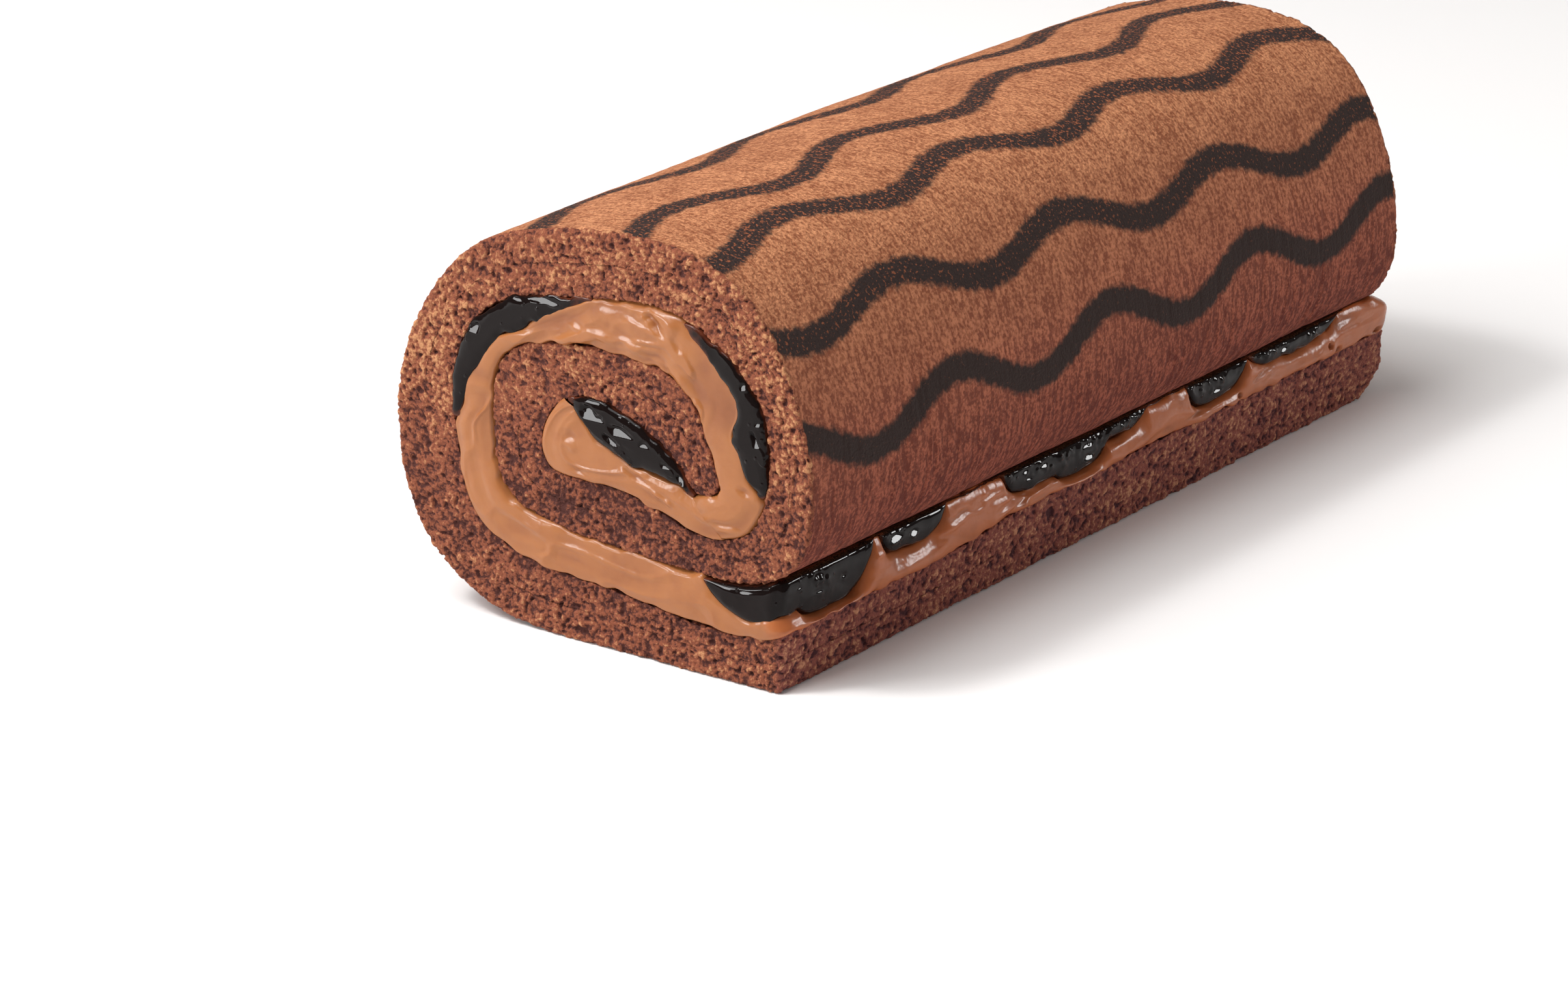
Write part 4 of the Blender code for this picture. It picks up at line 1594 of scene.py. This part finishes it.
@dataclass(frozen=True)
class TailSauce:
    """Sauce pressed out below the roll, hanging in drips over the cream on the tail."""

    section: Section = Section()
    fine: float = 0.35
    coarse: float = 0.6
    reach: float = 16.0
    corner: float = 2.0
    station_mm: float = 14.0
    proud: float = 1.2
    face_proud: float = 0.85
    tuck: float = 1.6
    bead_mm: float = 1.7
    bead_height: float = 0.4
    SPOTS = (
        Spot(17.9, 16.2, 0.8, 0.5), Spot(10.2, 15.9, 1.0, 0.5), Spot(33.1, 18.6, 1.8, 0.7),
        Spot(38.4, 18.0, 1.0, 0.7), Spot(73.3, 19.2, 0.9, 0.5), Spot(74.5, 17.6, 1.2, 0.4),
        Spot(79.1, 18.8, 1.0, 0.5), Spot(93.4, 18.6, 1.5, 0.5), Spot(93.5, 16.4, 1.5, 0.6),
        Spot(161.6, 18.8, 1.0, 0.5), Spot(138.0, 17.0, 1.4, 0.5), Spot(5.0, 18.0, 0.8, 0.4),
    )
    FRONT_SPOTS = (Spot(32.6, 17.8, 2.6, 0.7, 15), Spot(26.6, 18.8, 1.2, 0.4, -10))

    def ribbon(self, rows: Array, down: Array, out: Array) -> tuple[Array, Array]:
        """Places of the hanging sauce when it stands out by a given height.

        Args:
            rows: The path round the cut edges, as rows of distance, place and inward normal.
            down: Share of the way down the drip, from just above its top to its tip.
            out: How far it stands out in millimetres.

        Returns:
            The points, and how far the sauce hangs at each.
        """
        edge = np.abs(2 * np.clip(down, 0, 1) - 1)
        inward = self.tuck * smoothstep(0.82, 1.0, edge) - out
        d = rows[:, 0, None] + rows[:, 2, None] * inward
        y = rows[:, 1, None] + rows[:, 3, None] * inward
        station = np.clip(d, 0, None) / self.station_mm
        top, _ = self.section.sheet(self.section.turn_over(station))
        hang = self.section.hang(station, y) - self.section.tuck_drop(station)
        steps = np.linalg.norm(np.diff(rows[:, :2], axis=0), axis=-1)
        travelled = np.concatenate(((0.0,), np.cumsum(steps)))[:, None] + 0 * down
        line = np.stack((travelled, 0 * d, 0 * d), axis=-1)
        wander = 0.3 * ripple(line, (3.0, 1.0, 1.0), 95) + 0.6 * ripple(line, (8.0, 1.0, 1.0), 97)
        hang = hang + 0.4 + wander
        drop = np.clip(hang, 0.1, None) * down
        x = top[..., 0] + np.clip(-d, 0, None)
        return self.section.in_frame(x, y, top[..., 1] - drop), hang

    def strip(self) -> Patch:
        """A ribbon from the front face round the corner and along the tail's side.

        From its top to its tip it is a flattened half ellipse. Beads and spots are added to
        how far it stands out.

        Returns:
            The grid.
        """
        path = RimPath(self.reach, self.corner, self.corner, self.fine, self.coarse)
        side = path.side_and_back()
        side = side[side[:, 1] <= self.section.SAUCE_END + 1.5]
        rows = np.concatenate((path.front()[:-1], side))
        down = np.linspace(-0.08, 1.0, 37)[None, :]
        edge = np.abs(2 * np.clip(down, 0, 1) - 1)
        station = np.clip(rows[:, 0], 0, None) / self.station_mm
        depth = self.section.hang(station, rows[:, 1])
        proud = self.proud * np.clip(0.35 + depth / 8.0, 0, 1)[:, None]
        on_face = rows[:, 3, None] > 0.5
        proud = np.where(on_face, np.minimum(proud, self.face_proud), proud)
        dome = proud * np.sqrt(1 - edge**2.2)
        points, hang = self.ribbon(rows, down, dome)
        # The upper part holds small beads, as on sauce that was pressed through the crumb.
        bead, _ = cells(points, self.bead_mm, 203)
        beads = np.clip(1 - (bead / 0.6) ** 2, 0, 1) ** 1.5 * smoothstep(0.75, 0.3, down)
        beads = beads * smoothstep(-0.25, 0.15, ripple(points, 6.0, 99))
        whole = dome + 0.2 * ripple(points, 4.0, 93) + 0.04 * ripple(points, 2.0, 94)
        whole = whole + self.bead_height * beads
        ragged = 0.3 * ripple(points, 1.3, 91)
        on_side = rows[:, 2, None]
        x, y, z = points[..., 0], rows[:, 1, None] + 0 * down, points[..., 2]
        side = SIDE_TILT.ease(self.SPOTS, y, z, whole, ragged)
        front = FACE_TILT.ease(self.FRONT_SPOTS, x, z, whole, ragged)
        whole = side * on_side + front * (1 - on_side)
        lens = 1 - edge**4
        points, _ = self.ribbon(rows, down, dome + lens * (whole - dome))
        return Patch(points, {"thick": lens * np.clip(hang / 4.0, 0.3, 1.0)}, (0, -1, 0))

    def build(self, material: bpy.types.Material) -> list[bpy.types.Object]:
        """Makes the hanging sauce."""
        return [mesh_from("sauce_over_tail", [self.strip()], material)]


@dataclass(frozen=True)
class Softbox:
    """A square soft light that looks at the cake."""

    name: str
    azimuth: float
    elevation: float
    distance: float
    size: float
    watts: float
    colour: tuple[float, float, float] = (1.0, 1.0, 1.0)

    def place(self, target: tuple[float, float, float]) -> None:
        """Puts the light on its bearing, aimed at the target.

        Args:
            target: Point that it looks at, in metres.
        """
        a, e = math.radians(self.azimuth), math.radians(self.elevation)
        back = np.array((math.sin(a) * math.cos(e), -math.cos(a) * math.cos(e), math.sin(e)))
        light = bpy.data.lights.new(self.name, "AREA")
        light.energy = self.watts
        light.size = self.size
        light.color = self.colour
        lamp = bpy.data.objects.new(self.name, light)
        lamp.location = np.array(target) + back * self.distance
        lamp.rotation_mode = "QUATERNION"
        lamp.rotation_quaternion = Vector(-back).to_track_quat("-Z", "Y")
        bpy.context.scene.collection.objects.link(lamp)


@dataclass(frozen=True)
class Studio:
    """White sweep, soft lights, and the camera of the photo."""

    camera_place: tuple[float, float, float] = (0.52562, -0.76656, 0.33214)
    azimuth: float = 36.157
    elevation: float = 19.731
    lens: float = 121.13
    target: tuple[float, float, float] = (0.0, 0.0, 0.035)
    half_width: float = 3000.0
    floor_front: float = -2500.0
    floor_back: float = 1800.0
    bend: float = 700.0
    wall_top: float = 3200.0
    sky: tuple[float, float, float, float] = (1.0, 0.92, 0.89, 1.0)
    sky_strength: float = 0.2
    BOXES = (
        Softbox("key", -27, 60, 1.3, 1.0, 16.9),
        Softbox("key_glint", -34, 55, 1.3, 0.18, 4.5),
        Softbox("face_glint", -33.7, 15.3, 1.075, 0.24, 4.2),
        Softbox("side_glint", 137.5, 15.8, 1.21, 0.18, 3.0),
    )

    def sweep(self) -> bpy.types.Object:
        """Floor that curves up behind the cake: a flat, a quarter round and a wall, in mm.

        Returns:
            The sweep, turned to face the camera.
        """
        reach = np.linspace(-self.half_width, self.half_width, 24)
        flat = np.stack((np.linspace(self.floor_front, self.floor_back, 30), np.zeros(30)), axis=-1)
        angle = np.linspace(0, math.pi / 2, 24)[1:]
        deep, high = self.floor_back + self.bend * np.sin(angle), self.bend * (1 - np.cos(angle))
        bend = np.stack((deep, high), axis=-1)
        up = np.linspace(self.bend + 200.0, self.wall_top, 6)
        wall = np.stack((up * 0 + self.floor_back + self.bend, up), axis=-1)
        profile = np.concatenate((flat, bend, wall))
        turn = math.radians(self.azimuth)
        side = reach[:, None] + 0 * profile[None, :, 0]
        deep = profile[None, :, 0] + 0 * reach[:, None]
        x = side * math.cos(turn) - deep * math.sin(turn)
        y = side * math.sin(turn) + deep * math.cos(turn)
        z = np.broadcast_to(profile[None, :, 1], x.shape)
        patch = Patch(np.stack((x, y, z), axis=-1), {}, (0, 0, 1))
        return mesh_from("sweep", [patch], SweepFinish().material(), held=False)

    def camera(self) -> None:
        """The camera worked out from the photo."""
        data = bpy.data.cameras.new("photo_camera")
        data.lens = self.lens
        data.sensor_width = 36.0
        data.clip_start = 0.05
        data.clip_end = 50.0
        camera = bpy.data.objects.new("photo_camera", data)
        camera.location = self.camera_place
        a, e = math.radians(self.azimuth), math.radians(self.elevation)
        look = Vector((-math.sin(a) * math.cos(e), math.cos(a) * math.cos(e), -math.sin(e)))
        camera.rotation_mode = "QUATERNION"
        camera.rotation_quaternion = look.to_track_quat("-Z", "Y")
        bpy.context.scene.collection.objects.link(camera)
        bpy.context.scene.camera = camera

    def light(self) -> None:
        """Key from above left, and three small lights that put glints on cream and sauce."""
        for box in self.BOXES:
            box.place(self.target)
        world = bpy.data.worlds.new("studio")
        world.use_nodes = True
        background = world.node_tree.nodes["Background"]
        background.inputs["Color"].default_value = self.sky
        background.inputs["Strength"].default_value = self.sky_strength
        bpy.context.scene.world = world
        bpy.context.scene.view_settings.view_transform = "Standard"

    def build(self) -> None:
        """Sets the stage."""
        self.sweep()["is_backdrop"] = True
        self.light()
        self.camera()


def main() -> None:
    """Loads the frame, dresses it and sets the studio."""
    logging.basicConfig(level=logging.INFO, format="%(message)s")
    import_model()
    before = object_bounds()
    Packed.box = before
    sponge = Sponge().build(SpongeFinish().material())
    cream = Cream().build(CreamFinish().material())
    wet = SauceFinish().material()
    left = Pool("pool_left", Section.LEFT_POOL, False, 101, Pool.LEFT_SPOTS).build(wet)
    right = Pool("pool_right", Section.RIGHT_POOL, False, 111, Pool.RIGHT_SPOTS).build(wet)
    middle = Pool("pool_middle", Section.MIDDLE_POOL, True, 121, Pool.MIDDLE_SPOTS).build(wet)
    tail = TailSauce().build(wet)
    dressed = (
        (sponge, "sponge", Slot.SPONGE), (cream, "cream", Slot.CREAM),
        (left, "sauce_left", Slot.SAUCE), (right, "sauce_right", Slot.SAUCE),
        (middle, "sauce_middle", Slot.SAUCE), (tail, "sauce_tail", Slot.SAUCE),
    )
    for made, node, slot in dressed:
        for piece in made:
            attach(piece, "root")
            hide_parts(node)
            LOG.info("%s: %d faces, for %s", piece.name, len(piece.data.polygons), node)
    Studio().build()


if __name__ == "__main__":
    main()
